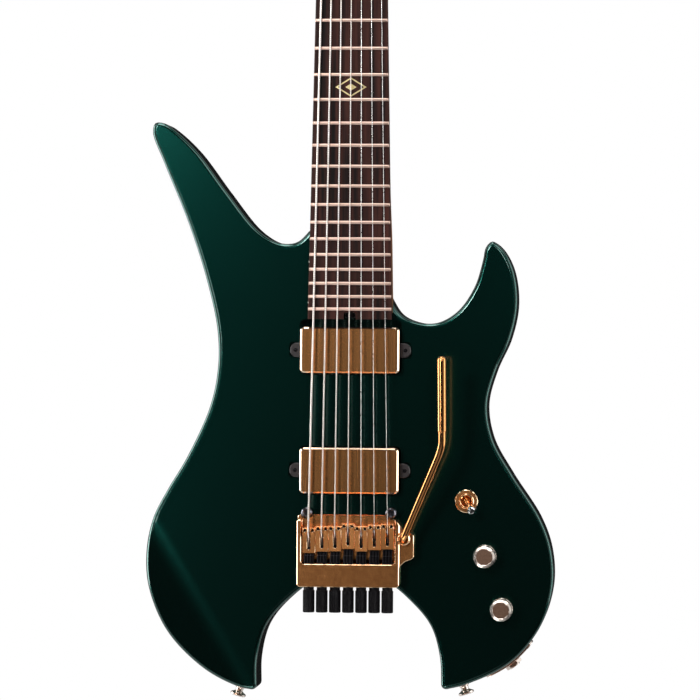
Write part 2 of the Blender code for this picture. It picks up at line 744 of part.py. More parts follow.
def make_strings(frame, steel):
    """Seven strings, each from the headpiece over the nut and its saddle to its sled."""
    for i in range(STRINGS):
        radius = string_radius(i)
        low, high = nut_span()
        nut_height = string_underside(i, SCALE_LENGTH) + radius
        ridge = saddle_break_z(i)
        route = [
            Vector((string_x(i, head_front()), -anchor_height(), head_front() + HEAD_BORE_DEPTH - FIT)),
            Vector((string_x(i, head_front()), -anchor_height(), head_front() - 0.0003)),
            Vector((string_x(i, high), -nut_height, high)),
            Vector((string_x(i, low), -nut_height, low)),
            Vector((string_x(i, ridge), -(string_underside(i, ridge) + radius), ridge)),
            anchor_on_sled(i),
        ]
        rings = []
        for k, point in enumerate(route):
            before = (point - route[k - 1]).normalized() if k else None
            after = (route[k + 1] - point).normalized() if k + 1 < len(route) else before
            way = ((before or after) + after).normalized()
            side = Vector((1, 0, 0))
            up = way.cross(side).normalized()
            side = up.cross(way)
            rings.append(
                [point + radius * (side * math.cos(t) + up * math.sin(t))
                 for t in (math.pi * (s + 0.5) / 3 for s in range(6))]
            )
        add_piece(f"string_{i + 1}", loft(rings), steel, frame)


def pickup_cavities(z, top):
    """The pocket for a pickup, and the shallow slot for its ears."""
    half = PICKUP_WIDTH / 2 + CAVITY_MARGIN
    reach = PICKUP_LENGTH / 2 + CAVITY_MARGIN
    end = z + reach if top is None else top
    main = rounded_block(
        (-half, half), (-PICKUP_CAVITY_DEPTH, OVERCUT), (z - reach, end), PICKUP_CORNER + CAVITY_MARGIN
    )
    ear_half = EAR_SPAN / 2 + CAVITY_MARGIN * 0.6
    ear_reach = EAR_LENGTH / 2 + CAVITY_MARGIN * 0.6
    ears = rounded_block(
        (-ear_half, ear_half), (-ear_seat() - FIT, OVERCUT), (z - ear_reach, z + ear_reach), 0.003
    )
    return main, ears


def ear_seat():
    """How deep the underside of a pickup's base lies under the body's front face."""
    return COVER_SKIRT + FIT + PICKUP_BASE_THICKNESS


def make_pickup(name, z, frame, gold, plastic):
    """A metal cover over its base, which has the winding's block and two screw ears."""
    half, reach = PICKUP_WIDTH / 2, PICKUP_LENGTH / 2
    shell = rounded_block(
        (-half, half), (-COVER_SKIRT, PICKUP_TOP), (z - reach, z + reach), PICKUP_CORNER
    )
    round_corners(
        shell, 0.0012, 2, lambda a, b: abs(a.y + PICKUP_TOP) < 1e-7 and abs(b.y + PICKUP_TOP) < 1e-7
    )
    cover = add_piece(f"{name}_cover", shell, gold, frame)
    inside = rounded_block(
        (-half + COVER_WALL, half - COVER_WALL), (-COVER_SKIRT - 0.01, PICKUP_TOP - COVER_WALL),
        (z - reach + COVER_WALL, z + reach - COVER_WALL), PICKUP_CORNER - COVER_WALL,
    )
    change(cover, inside, frame)
    base_top = -COVER_SKIRT - FIT
    base = add_piece(
        f"{name}_base",
        rounded_block((-half, half), (-ear_seat(), base_top), (z - reach, z + reach), PICKUP_CORNER),
        plastic, frame,
    )
    ear_half = EAR_SPAN / 2
    inner = half + FIT * 2
    ears = rounded_block(
        (-ear_half, ear_half), (-ear_seat(), EAR_TOP), (z - EAR_LENGTH / 2, z + EAR_LENGTH / 2), 0.0028
    )
    change(base, ears, frame, "UNION")
    clear = block((-inner, inner), (base_top, EAR_TOP + OVERCUT), (z - reach, z + reach))
    change(base, clear, frame)
    winding = COVER_WALL + FIT * 2
    core = rounded_block(
        (-half + winding, half - winding), (-ear_seat() + 0.0005, PICKUP_TOP - winding),
        (z - reach + winding, z + reach - winding), PICKUP_CORNER - winding + 0.0008, 2,
    )
    change(base, core, frame, "UNION")
    for side in (-1, 1):
        start = (side * EAR_HOLE_SPACING / 2, -EAR_TOP - 0.002, z)
        change(base, rod_tool(EAR_HOLE_RADIUS, start, BACK, 0.012, 12), frame)


def make_stud(name, side, frame, steel):
    """A pivot stud: a hex-socket head over a groove for the plate's knife edge."""
    profile = (
        (0.0018, STUD_TOP - 0.0022), (0.0018, STUD_TOP), (STUD_RADIUS - 0.0006, STUD_TOP),
        (STUD_RADIUS, STUD_TOP - 0.0006), (STUD_RADIUS, -STUD_DEPTH),
    )
    bm = turned(profile, 16)
    bm.transform(facing(FRONT, (side * STUD_SPACING / 2, 0, PIVOT_Z)))
    add_piece(name, bm, steel, frame)


def tray_half():
    return STRINGS * STRING_PITCH / 2 + TRAY_MARGIN


def plate_half():
    return tray_half() + SIDE_WALL


def plate_bottom():
    return PIVOT_HEIGHT - PLATE_THICKNESS / 2


def tray_floor():
    return plate_bottom() + PLATE_THICKNESS


def bar_back():
    return BAR_FRONT - BAR_LENGTH


def arm_x():
    return plate_half() + ARM_OFFSET


def plate_outline():
    """The base plate seen from the front, clockwise from its bass front corner."""
    side, back, arm = plate_half(), bar_back(), arm_x()
    stud = STUD_SPACING / 2
    return (
        (-side, PLATE_FRONT - 0.0012), (-side + 0.0012, PLATE_FRONT), (stud - 0.0049, PLATE_FRONT),
        (stud + 0.0028, -0.0006), (side - 0.0016, -0.0023), (arm - 0.0017, ARM_Z + 0.0088),
        (arm + 0.0007, ARM_Z + 0.0062), (arm + 0.0054, ARM_Z + 0.0052), (arm + 0.0080, ARM_Z + 0.0029),
        (arm + 0.0080, ARM_Z - 0.0144), (arm + 0.0066, ARM_Z - 0.0161), (arm + 0.0012, ARM_Z - 0.0180),
        (side + 0.0012, BAR_FRONT - 0.0005), (side, BAR_FRONT - 0.0030), (side, back + 0.0016),
        (side - 0.0016, back), (-side + 0.0016, back), (-side, back + 0.0016),
    )


def make_bridge_plate(pivot, gold):
    """The machined base: side walls, the rear bar with its channels, and the ear for the arm."""
    outline = [Vector(p) for p in plate_outline()]
    plate = add_piece("bridge_plate", slab(outline, plate_bottom(), WALL_TOP), gold, pivot)
    tray = rounded_block(
        (-tray_half(), tray_half()), (tray_floor(), WALL_TOP + OVERCUT), (BAR_FRONT, PLATE_FRONT + OVERCUT),
        0.003, 2
    )
    change(plate, tray, pivot)
    width = plate_half() + OVERCUT
    front = block(
        (-width, width), (tray_floor(), WALL_TOP + OVERCUT), (-PLATE_STEP, PLATE_FRONT + OVERCUT)
    )
    change(plate, front, pivot)
    ear = block(
        (plate_half(), arm_x() + OVERCUT * 2), (EAR_PLATE_TOP, WALL_TOP + OVERCUT),
        (BAR_FRONT - 0.004, PLATE_FRONT + OVERCUT),
    )
    change(plate, ear, pivot)
    for side in (-1, 1):
        at = (side * STUD_SPACING / 2, -WALL_TOP - 0.005, PIVOT_Z)
        change(plate, rod_tool(STUD_RADIUS + STUD_CLEARANCE, at, BACK, 0.03, 20), pivot)
    for i in range(STRINGS):
        x = bridge_x(i)
        half = CHANNEL_WIDTH / 2
        channel = block(
            (x - half, x + half), (tray_floor(), tray_floor() + CHANNEL_HEIGHT),
            (bar_back() + BAR_BACK_WALL, BAR_FRONT + 0.001),
        )
        change(plate, channel, pivot)
        start = (x, -rod_height(), bar_back() - 0.001)
        hole = rod_tool(ROD_RADIUS + FIT, start, Vector((0, 0, 1)), BAR_BACK_WALL + 0.002, 8)
        change(plate, hole, pivot)
    foot = (arm_x(), -EAR_PLATE_TOP + 0.001, ARM_Z)
    collar = rod_tool(ARM_COLLAR_RADIUS, foot, FRONT, ARM_COLLAR_TOP - EAR_PLATE_TOP + 0.001)
    change(plate, collar, pivot, "UNION")
    floor = (arm_x(), -plate_bottom() - ARM_BORE_FLOOR, ARM_Z)
    change(plate, rod_tool(ARM_RADIUS + FIT, floor, FRONT, 0.02), pivot)


def rod_height():
    """The height of the sleds' rods, and so of the tuner knobs' axes."""
    return tray_floor() + CHANNEL_HEIGHT / 2


def make_block(pivot, steel):
    """The heavy block under the plate that the springs pull on."""
    bm = rounded_block(
        (-BLOCK_HALF_WIDTH, BLOCK_HALF_WIDTH), (-BLOCK_DEPTH, plate_bottom() - FIT),
        (BLOCK_FRONT - BLOCK_LENGTH, BLOCK_FRONT), 0.002, 2,
    )
    add_piece("tremolo_block", bm, steel, pivot)


def make_saddle(i, pivot, gold):
    """A saddle: a ridge under the string, a sloping back, a slot above and a tunnel below."""
    front = SADDLE_FRONTS[i]
    rear = front - SADDLE_LENGTH
    ridge = saddle_ridge_z(i)
    bottom = tray_floor() + FIT
    top = string_underside(i, ridge) - FIT
    half = (STRING_PITCH - SADDLE_GAP) / 2
    x = bridge_x(i)
    side = (
        (bottom, front), (top - 0.0012, front), (top, ridge + RIDGE_HALF), (top, ridge - RIDGE_HALF),
        (top - 0.0010, ridge - 0.0045), (bottom + SADDLE_REAR_HEIGHT, rear), (bottom, rear),
    )
    bm = loft([[(px, -h, z) for h, z in side] for px in (x - half, x + half)])
    saddle = add_piece(f"saddle_{i + 1}", bm, gold, pivot)
    slot = rounded_block(
        (x - SADDLE_SLOT / 2, x + SADDLE_SLOT / 2), (bottom - 0.001, top + OVERCUT),
        (rear + 0.0026, saddle_break_z(i) - 0.0001), 0.0010, 2,
    )
    change(saddle, slot, pivot)
    tunnel_half = SLED_NOSE_WIDTH / 2 + 0.0004
    tunnel_top = bottom + FIT + SLED_NOSE_HEIGHT + FIT
    tunnel = block(
        (x - tunnel_half, x + tunnel_half), (bottom - 0.001, tunnel_top),
        (rear - 0.001, SLED_NOSE_Z + sled_forward() + 0.0006),
    )
    change(saddle, tunnel, pivot)


def sled_forward():
    """How far a sled can run towards the nut before its block meets the longest saddle."""
    return min(f - SADDLE_LENGTH for f in SADDLE_FRONTS) - SLED_BLOCK_Z - 0.0004


def make_tuner(i, pivot, steel, black):
    """A sled that holds the string, with its threaded rod, and the knob that draws it back."""
    x, rod = bridge_x(i), -rod_height()
    bottom = tray_floor() + FIT
    nose_mid = -(bottom + SLED_NOSE_HEIGHT / 2)
    nose = SLED_NOSE_WIDTH / 2, SLED_NOSE_HEIGHT / 2, 0.0003, x, nose_mid
    block_half = CHANNEL_HEIGHT / 2 - FIT
    carriage = CHANNEL_WIDTH / 2 - FIT, block_half, 0.0006, x, rod
    rings = [
        chamfered(*nose, SLED_NOSE_Z), chamfered(*nose, SLED_BLOCK_Z),
        chamfered(*carriage, SLED_BLOCK_Z), chamfered(*carriage, SLED_BLOCK_END),
        octagon(ROD_RADIUS, x, rod, SLED_BLOCK_END), octagon(ROD_RADIUS, x, rod, ROD_END),
    ]
    add_piece(f"tuner_sled_{i + 1}", loft(rings), steel, pivot, (x, rod, SLED_BLOCK_END))
    top = bar_back() - FIT
    bore_end = ROD_END - SLED_DRAW - TUNER_SPARE
    bottom_end = bore_end - TUNER_WALL
    profile = (
        (ROD_RADIUS + FIT, bore_end), (ROD_RADIUS + FIT, top), (TUNER_RADIUS - 0.0006, top),
        (TUNER_RADIUS - 0.0006, top - TUNER_NECK), (TUNER_RADIUS, top - TUNER_NECK - 0.0004),
        (TUNER_RADIUS, bottom_end + 0.0006), (TUNER_RADIUS - 0.0006, bottom_end),
    )
    bm = turned(profile, 14)
    bmesh.ops.translate(bm, verts=bm.verts, vec=(x, rod, 0))
    add_piece(f"tuner_knob_{i + 1}", bm, black, pivot, (x, rod, top))


def make_arm(frame, gold):
    """The tremolo arm: a peg in the collar, one bend, and a thicker sleeve at the tip."""
    socket = Vector((arm_x(), 0, ARM_Z))
    foot = plate_bottom() + ARM_BORE_FLOOR + FIT
    route = [(socket + Vector((0, -foot, 0)), ARM_RADIUS)]
    for x, z, h in ARM_ROUTE:
        route.append((socket + Vector((x, -h, z)), ARM_RADIUS))
    start, end = (socket + Vector((x, -h, z)) for x, z, h in ARM_SLEEVE)
    way = (end - start).normalized()
    for place, radius in ((0.0, ARM_TIP_RADIUS), (1.0, ARM_TIP_RADIUS)):
        route.append((start.lerp(end, place) - way * ARM_TIP_RADIUS * place, radius))
    route.append((end - way * ARM_TIP_RADIUS * 0.3, ARM_TIP_RADIUS * 0.75))
    route.append((end, ARM_TIP_RADIUS * 0.3))
    rings = []
    side = Vector((1, 0, 0))
    for k, (point, radius) in enumerate(route):
        before = route[max(k - 1, 0)][0]
        after = route[min(k + 1, len(route) - 1)][0]
        way = (after - before).normalized()
        side = (side - way * side.dot(way)).normalized()
        up = way.cross(side)
        rings.append(
            [point + radius * (side * math.cos(t) + up * math.sin(t))
             for t in (2 * math.pi * s / 12 for s in range(12))]
        )
    add_piece("tremolo_arm", loft(rings), gold, frame)


def spring_axis_depth():
    """How deep under the front face the springs lie."""
    return BODY_THICKNESS - SPRING_CAVITY_DEPTH + 0.008


def spring_cavity():
    """The cavity at the back, from the block's well to past the claw."""
    return rounded_block(
        (-SPRING_CAVITY_HALF, SPRING_CAVITY_HALF),
        (-BODY_THICKNESS - OVERCUT, -BODY_THICKNESS + SPRING_CAVITY_DEPTH),
        (WELL_BACK, SPRING_CAVITY_TOP), 0.004, 2,
    )


def claw_screw_places():
    gap = SPRING_PITCH / 2
    return (-gap, gap)


def make_springs(frame, steel):
    """The claw, its two long screws, and the springs between it and the block."""
    depth = spring_axis_depth()
    half = CLAW_HEIGHT / 2
    bm = block(
        (-CLAW_HALF_WIDTH, CLAW_HALF_WIDTH), (-depth - half, -depth + half),
        (CLAW_Z, CLAW_Z + CLAW_THICKNESS),
    )
    claw = add_piece("spring_claw", bm, steel, frame)
    for x in claw_screw_places():
        start = (x, depth, CLAW_Z + 0.001)
        reach = SPRING_CAVITY_TOP + CLAW_SCREW_REACH - CLAW_Z - 0.001
        change(claw, rod_tool(CLAW_SCREW_RADIUS, start, Vector((0, 0, 1)), reach, 8), frame, "UNION")
    low, high = BLOCK_FRONT + FIT, CLAW_Z - FIT
    profile = (
        (HOOK_RADIUS, low), (HOOK_RADIUS, low + HOOK_LENGTH), (SPRING_RADIUS, low + HOOK_LENGTH),
        (SPRING_RADIUS, high - HOOK_LENGTH), (HOOK_RADIUS, high - HOOK_LENGTH), (HOOK_RADIUS, high),
    )
    for k in range(SPRINGS):
        bm = turned(profile, 10)
        x = (k - (SPRINGS - 1) / 2) * SPRING_PITCH
        bmesh.ops.translate(bm, verts=bm.verts, vec=(x, depth, 0))
        add_piece(f"tremolo_spring_{k + 1}", bm, steel, frame)


def cover_recess(outline):
    """The shallow step in the back face that a cover lies in."""
    return slab(outline, -BODY_THICKNESS - OVERCUT, -BODY_THICKNESS + COVER_THICKNESS + FIT)


def spring_cover_outline(grow):
    """The cover over the springs: a long rectangle with round corners."""
    half = max(WELL_HALF_WIDTH, SPRING_CAVITY_HALF) + COVER_LEDGE + grow
    low, high = WELL_BACK - COVER_LEDGE - grow, SPRING_CAVITY_TOP + COVER_LEDGE + grow
    radius = COVER_CORNER + grow
    out = []
    for cx, cz, start in (
        (-half + radius, high - radius, 180), (half - radius, high - radius, 90),
        (half - radius, low + radius, 0), (-half + radius, low + radius, -90),
    ):
        for k in range(4):
            turn = math.radians(start - 30 * k)
            out.append(Vector((cx + radius * math.cos(turn), cz + radius * math.sin(turn))))
    return out


def control_cover_outline(grow):
    outline = smooth_outline(CONTROL_OUTLINE, 0.008)
    return offset_outline(outline, COVER_LEDGE + grow)


def control_cavity():
    """The cavity behind the knobs and the switch, open at the back."""
    outline = smooth_outline(CONTROL_OUTLINE, 0.008)
    return slab(outline, -BODY_THICKNESS - OVERCUT, -CONTROL_WALL)


def make_covers(frame, plastic):
    """The two cover plates, flush with the back face."""
    for name, outline in (
        ("tremolo_cover", spring_cover_outline(0.0)), ("control_cover", control_cover_outline(0.0))
    ):
        bm = slab(outline, -BODY_THICKNESS, -BODY_THICKNESS + COVER_THICKNESS)
        add_piece(name, bm, plastic, frame)


def make_knob(name, place, frame, gold):
    """A knob with its shaft, which turns in the pot's bush."""
    x, z = place
    foot = FIT * 2
    profile = (
        (SHAFT_RADIUS, -SHAFT_DEPTH), (SHAFT_RADIUS, foot), (KNOB_RADIUS - 0.0004, foot),
        (KNOB_RADIUS, foot + 0.0006), (KNOB_RADIUS, KNOB_HEIGHT * 0.3),
        (KNOB_RADIUS - 0.0003, KNOB_HEIGHT - 0.0026), (KNOB_RADIUS - 0.0012, KNOB_HEIGHT - 0.0008),
        (KNOB_FACE_RADIUS, KNOB_HEIGHT),
    )
    bm = turned(profile, 20)
    bm.transform(facing(FRONT, (x, 0, z)))
    add_piece(name, bm, gold, frame, (x, 0, z))


def make_pot(name, place, frame, steel):
    """A pot: a round can against the wood, with a bush up through it."""
    x, z = place
    seat = -CONTROL_WALL - FIT
    profile = (
        (SHAFT_RADIUS + FIT, -SHAFT_DEPTH - FIT), (SHAFT_RADIUS + FIT, FIT),
        (POT_BUSH_RADIUS, FIT), (POT_BUSH_RADIUS, seat), (POT_RADIUS, seat),
        (POT_RADIUS, seat - POT_DEPTH),
    )
    bm = turned(profile, 16)
    bm.transform(facing(FRONT, (x, 0, z)))
    add_piece(name, bm, steel, frame)


def square_ring(half, place):
    """Sixteen points round a square, in step with a turned ring of sixteen sides."""
    ring = []
    for k in range(16):
        turn = 2 * math.pi * (k + 0.5) / 16
        reach = half / max(abs(math.cos(turn)), abs(math.sin(turn)))
        ring.append((reach * math.cos(turn), reach * math.sin(turn), place))
    return ring


def round_ring(radius, place):
    turns = [2 * math.pi * (k + 0.5) / 16 for k in range(16)]
    return [(radius * math.cos(t), radius * math.sin(t), place) for t in turns]


def make_switch(frame, gold, silver):
    """The toggle switch: ring nut, bush and body in one, and the lever in its cone."""
    x, z = SWITCH_AT
    seat = -CONTROL_WALL - FIT
    mouth = SWITCH_BUSH_RADIUS - 0.0009
    rings = [round_ring(radius, place) for radius, place in (
        (LEVER_BALL_RADIUS + 0.0008, lever_pivot() - LEVER_BALL_RADIUS - FIT), (mouth, RING_HEIGHT),
        (RING_RADIUS - 0.0012, RING_HEIGHT), (RING_RADIUS, RING_HEIGHT - 0.0010), (RING_RADIUS, FIT),
        (SWITCH_BUSH_RADIUS, FIT), (SWITCH_BUSH_RADIUS, seat),
    )]
    rings += [square_ring(SWITCH_BODY_HALF, seat), square_ring(SWITCH_BODY_HALF, seat - SWITCH_BODY_DEPTH)]
    bm = loft(rings)
    bm.transform(facing(FRONT, (x, 0, z)))
    add_piece("toggle_switch", bm, gold, frame)
    ball, rod, tip = LEVER_BALL_RADIUS, LEVER_ROD_RADIUS, LEVER_TIP_RADIUS
    profile = (
        (ball * 0.4, -ball * 0.92), (ball, 0.0), (rod, ball), (rod, LEVER_LENGTH * 0.52),
        (tip * 0.72, LEVER_LENGTH * 0.60), (tip, LEVER_LENGTH * 0.88),
        (tip * 0.85, LEVER_LENGTH * 0.96), (tip * 0.45, LEVER_LENGTH),
    )
    lever = turned(profile, 12)
    lever.transform(facing(lever_direction(), (x, -lever_pivot(), z)))
    add_piece("switch_lever", lever, silver, frame, (x, -lever_pivot(), z))


def lever_pivot():
    """The height of the lever's ball above the front face."""
    return FIT


def lever_direction():
    lean = outwards(LEVER_HEADING)
    return (FRONT * math.cos(LEVER_TILT) + lean * math.sin(LEVER_TILT)).normalized()


def edge_seat(at):
    """The body's outline, and the number of its point that lies nearest to a place."""
    outline = smooth_outline(BODY_OUTLINE, EDGE_STEP)
    return outline, min(range(len(outline)), key=lambda k: (outline[k] - Vector(at)).length)


def edge_axis(at):
    """A point on the body's edge, half way through its thickness, and the way out of it."""
    outline, near = edge_seat(at)
    along = (outline[near + 1] - outline[near - 1]).normalized()
    point = outline[near]
    return Vector((point.x, BODY_THICKNESS / 2, point.y)), Vector((along.y, 0, -along.x))


def edge_strip(at, gap, thickness, half_length):
    """The outline of a strip that lies along the body's edge, centred on a place."""
    outline, near = edge_seat(at)
    centre = outline[near]
    inner, outer = offset_outline(outline, gap), offset_outline(outline, gap + thickness)
    first = last = near
    while (outline[first] - centre).length < half_length:
        first -= 1
    while (outline[last] - centre).length < half_length:
        last += 1
    return inner[first:last + 1] + outer[first:last + 1][::-1]


def make_jack(frame, gold):
    """The plate curved along the edge, and the socket with its nut."""
    middle = BODY_THICKNESS / 2
    strip = edge_strip(JACK_AT, FIT, JACK_PLATE_THICKNESS, JACK_PLATE_HALF_LENGTH)
    bm = slab(strip, -middle - JACK_PLATE_HALF_WIDTH, -middle + JACK_PLATE_HALF_WIDTH)
    plate = add_piece("jack_plate", bm, gold, frame)
    outside, out = edge_axis(JACK_AT)
    hole = rod_tool(JACK_BUSH_RADIUS + FIT, outside + out * 0.01, -out, 0.02)
    change(plate, hole, frame)
    face = 2 * FIT + JACK_PLATE_THICKNESS
    nut_top = face + JACK_NUT_HEIGHT
    profile = (
        (JACK_BORE_RADIUS, -JACK_WALL - JACK_BODY_LENGTH + 0.003), (JACK_BORE_RADIUS, nut_top + 0.0008),
        (JACK_BUSH_RADIUS, nut_top + 0.0008), (JACK_BUSH_RADIUS, nut_top), (JACK_NUT_RADIUS, nut_top),
        (JACK_NUT_RADIUS, face), (JACK_BUSH_RADIUS, face), (JACK_BUSH_RADIUS, -JACK_WALL - FIT),
        (JACK_BODY_RADIUS, -JACK_WALL - FIT), (JACK_BODY_RADIUS, -JACK_WALL - JACK_BODY_LENGTH),
    )
    bm = turned(profile, 16)
    bm.transform(facing(out, outside))
    add_piece("jack_socket", bm, gold, frame)


def make_button(name, at, direction, frame, gold):
    """A strap button: a foot on the wood, a waist and a wide head."""
    profile = (
        (BUTTON_FOOT_RADIUS, FIT), (BUTTON_FOOT_RADIUS, 0.0012), (BUTTON_NECK_RADIUS, 0.0026),
        (BUTTON_NECK_RADIUS, BUTTON_HEIGHT * 0.58), (BUTTON_HEAD_RADIUS, BUTTON_HEIGHT * 0.76),
        (BUTTON_HEAD_RADIUS, BUTTON_HEIGHT - 0.0008), (BUTTON_HEAD_RADIUS - 0.0012, BUTTON_HEIGHT),
    )
    bm = turned(profile, 16)
    bm.transform(facing(direction, at))
    add_piece(name, bm, gold, frame)


def make_guitar():
    for old in list(bpy.data.objects):
        bpy.data.objects.remove(old)
    paint = make_material("green_lacquer", (0.004, 0.045, 0.038), 0.2, 0.4)
    maple = make_material("neck_maple", (0.22, 0.11, 0.05), 0.45, 0.0)
    ebony = make_material("board_ebony", (0.035, 0.024, 0.022), 0.5, 0.0)
    bone = make_material("nut_graphite", (0.03, 0.03, 0.03), 0.4, 0.0)
    gold = make_material("gold_plate", (0.75, 0.45, 0.18), 0.25, 1.0)
    black = make_material("black_plate", (0.015, 0.015, 0.016), 0.35, 0.8)
    steel = make_material("bright_steel", (0.62, 0.62, 0.60), 0.3, 1.0)
    plastic = make_material("black_plastic", (0.012, 0.012, 0.012), 0.45, 0.0)

    guitar = Frame("guitar", (0, 0, 0))
    pivot = Frame("bridge_pivot", (0, -PIVOT_HEIGHT, PIVOT_Z), guitar)
    socket = Frame("arm_socket", (arm_x(), -ARM_COLLAR_TOP, ARM_Z), pivot)

    make_body(guitar, paint)
    make_neck(guitar, maple)
    make_fretboard(guitar, ebony)
    make_truss_rod_wheel(guitar, black)
    make_nut(guitar, bone)
    make_headpiece(guitar, gold)
    make_pickup("neck_pickup", NECK_PICKUP_Z, guitar, gold, plastic)
    make_pickup("bridge_pickup", BRIDGE_PICKUP_Z, guitar, gold, plastic)
    make_strings(guitar, steel)
    make_stud("pivot_stud_bass", -1, guitar, black)
    make_stud("pivot_stud_treble", 1, guitar, black)
    make_bridge_plate(pivot, gold)
    make_block(pivot, steel)
    for i in range(STRINGS):
        make_saddle(i, pivot, gold)
        make_tuner(i, pivot, black, black)
    make_arm(socket, gold)
    make_springs(guitar, steel)
    make_covers(guitar, plastic)
    make_knob("volume_knob", VOLUME_AT, guitar, gold)
    make_knob("tone_knob", TONE_AT, guitar, gold)
    make_pot("volume_pot", VOLUME_AT, guitar, steel)
    make_pot("tone_pot", TONE_AT, guitar, steel)
    make_switch(guitar, gold, steel)
    make_jack(guitar, gold)
    for name, at in (("strap_button_bass", LEFT_BUTTON_AT), ("strap_button_treble", RIGHT_BUTTON_AT)):
        make_button(name, *edge_axis(at), guitar, gold)
    x, z = HORN_BUTTON_AT
    make_button("strap_button_horn", (x, BODY_THICKNESS, z), BACK, guitar, gold)
    guitar.empty.location = (0, -BODY_THICKNESS, -REST_POINT)


make_guitar()
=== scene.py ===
"""The looks of a headless seven-string electric guitar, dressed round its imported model.

Pieces are drawn in the guitar's own coordinates: Z is zero at the scale line under the saddles, Y is
zero on the body's front face, a height above that face is -Y, and +X is the treble side. A finished
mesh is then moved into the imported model's frame.
"""

import json
import math

import bmesh
import bpy
from mathutils import Matrix, Vector

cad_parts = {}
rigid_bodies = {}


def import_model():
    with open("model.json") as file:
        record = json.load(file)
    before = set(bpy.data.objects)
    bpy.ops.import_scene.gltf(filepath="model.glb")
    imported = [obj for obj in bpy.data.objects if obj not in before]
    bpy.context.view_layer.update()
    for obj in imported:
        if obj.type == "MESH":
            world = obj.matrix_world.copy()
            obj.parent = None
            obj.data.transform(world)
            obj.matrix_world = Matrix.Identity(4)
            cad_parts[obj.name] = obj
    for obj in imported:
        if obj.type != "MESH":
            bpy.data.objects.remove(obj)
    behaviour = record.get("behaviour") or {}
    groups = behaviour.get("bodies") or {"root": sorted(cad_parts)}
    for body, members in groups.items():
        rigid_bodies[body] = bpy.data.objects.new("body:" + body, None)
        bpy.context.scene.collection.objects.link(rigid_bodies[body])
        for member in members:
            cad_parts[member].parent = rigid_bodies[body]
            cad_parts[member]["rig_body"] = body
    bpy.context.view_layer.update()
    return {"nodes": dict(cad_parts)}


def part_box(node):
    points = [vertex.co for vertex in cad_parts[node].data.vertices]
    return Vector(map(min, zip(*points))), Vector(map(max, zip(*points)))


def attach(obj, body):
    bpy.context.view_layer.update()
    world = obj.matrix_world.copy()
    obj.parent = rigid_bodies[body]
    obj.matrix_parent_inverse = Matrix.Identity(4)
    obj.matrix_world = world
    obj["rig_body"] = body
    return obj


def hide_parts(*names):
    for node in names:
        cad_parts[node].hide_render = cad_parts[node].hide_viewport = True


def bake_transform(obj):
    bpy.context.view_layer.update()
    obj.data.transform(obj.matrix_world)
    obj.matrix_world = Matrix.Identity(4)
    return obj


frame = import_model()

# The body is one blank of basswood, routed to its outline, with an even bevel under the forearm in
# front and a shallower hollow for the ribs behind. It is sprayed with a green metallic lacquer and
# polished under a thick clear coat. Pockets are routed for the neck, the pickups and the tremolo.

FIT = 0.0003
OVERCUT = 0.01
BODY_THICKNESS = 0.0445
REST_POINT = 0.140
OUTLINE_STEP = 0.0026
EDGE_ROUND = 0.0035
LEG_CORNER_RADIUS = 0.0050
FOREARM_LINE = ((-0.1559, -0.0164), (-0.0869, -0.1299))
FOREARM_SLOPE = 0.30
FOREARM_BLEND = 0.009
BELLY_LINE = ((-0.0500, 0.1700), (-0.1200, -0.0100))
BELLY_SLOPE = 0.26
BELLY_BLEND = 0.012
BELLY_FROM, BELLY_TO = -0.034, 0.206
BELLY_FADE = 0.060
BELLY_SIDE = -0.047
BODY_OUTLINE = (
    (-0.0310, 0.2350, "corner"), (-0.0427, 0.2230), (-0.0510, 0.2208), (-0.0616, 0.2227),
    (-0.0772, 0.2331), (-0.1012, 0.2629), (-0.1253, 0.2950), (-0.1424, 0.3115), (-0.1519, 0.3178),
    (-0.1600, 0.3182), (-0.1619, 0.3105), (-0.1525, 0.2859), (-0.1327, 0.2382), (-0.1170, 0.1903),
    (-0.1083, 0.1505), (-0.1078, 0.1201), (-0.1140, 0.0889), (-0.1330, 0.0467), (-0.1473, 0.0227),
    (-0.1596, -0.0015), (-0.1657, -0.0299), (-0.1639, -0.0591), (-0.1487, -0.0943),
    (-0.1184, -0.1237), (-0.0895, -0.1377), (-0.0743, -0.1402, "corner"), (-0.0740, -0.1139),
    (-0.0673, -0.0883), (-0.0518, -0.0685), (-0.0284, -0.0514), (0.0, -0.0455), (0.0288, -0.0508),
    (0.0513, -0.0682), (0.0664, -0.0871), (0.0736, -0.1120), (0.0748, -0.1384, "corner"),
    (0.0949, -0.1333), (0.1305, -0.1153), (0.1539, -0.0868), (0.1642, -0.0545), (0.1629, -0.0246),
    (0.1538, 0.0009), (0.1307, 0.0366), (0.1152, 0.0645), (0.1106, 0.0920), (0.1174, 0.1194),
    (0.1288, 0.1453), (0.1343, 0.1729), (0.1309, 0.2008), (0.1216, 0.2182), (0.1137, 0.2235),
    (0.1085, 0.2187), (0.1062, 0.2082), (0.0997, 0.1869), (0.0863, 0.1672), (0.0701, 0.1578),
    (0.0551, 0.1580), (0.0404, 0.1645), (0.0290, 0.1820, "corner"),
)

TO_FRAME = Vector((0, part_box("body")[0].y, -REST_POINT))
FRONT = Vector((0, -1, 0))
BACK = Vector((0, 1, 0))
UP = Vector((0, 0, 1))


def linear(code):
    """A colour written as sRGB hex, as linear red, green and blue with an alpha of one."""
    shares = [int(code[k:k + 2], 16) / 255 for k in (1, 3, 5)]
    return (*(s / 12.92 if s <= 0.04045 else ((s + 0.055) / 1.055) ** 2.4 for s in shares), 1.0)


def add_node(finish, kind, inputs=None, **settings):
    """Adds a node to a finish, with its settings. An input is a value, or a socket to link from."""
    made = finish.node_tree.nodes.new(kind)
    for name, value in settings.items():
        setattr(made, name, value)
    for name, value in (inputs or {}).items():
        if isinstance(value, bpy.types.NodeSocket):
            finish.node_tree.links.new(value, made.inputs[name])
        else:
            made.inputs[name].default_value = value
    return made


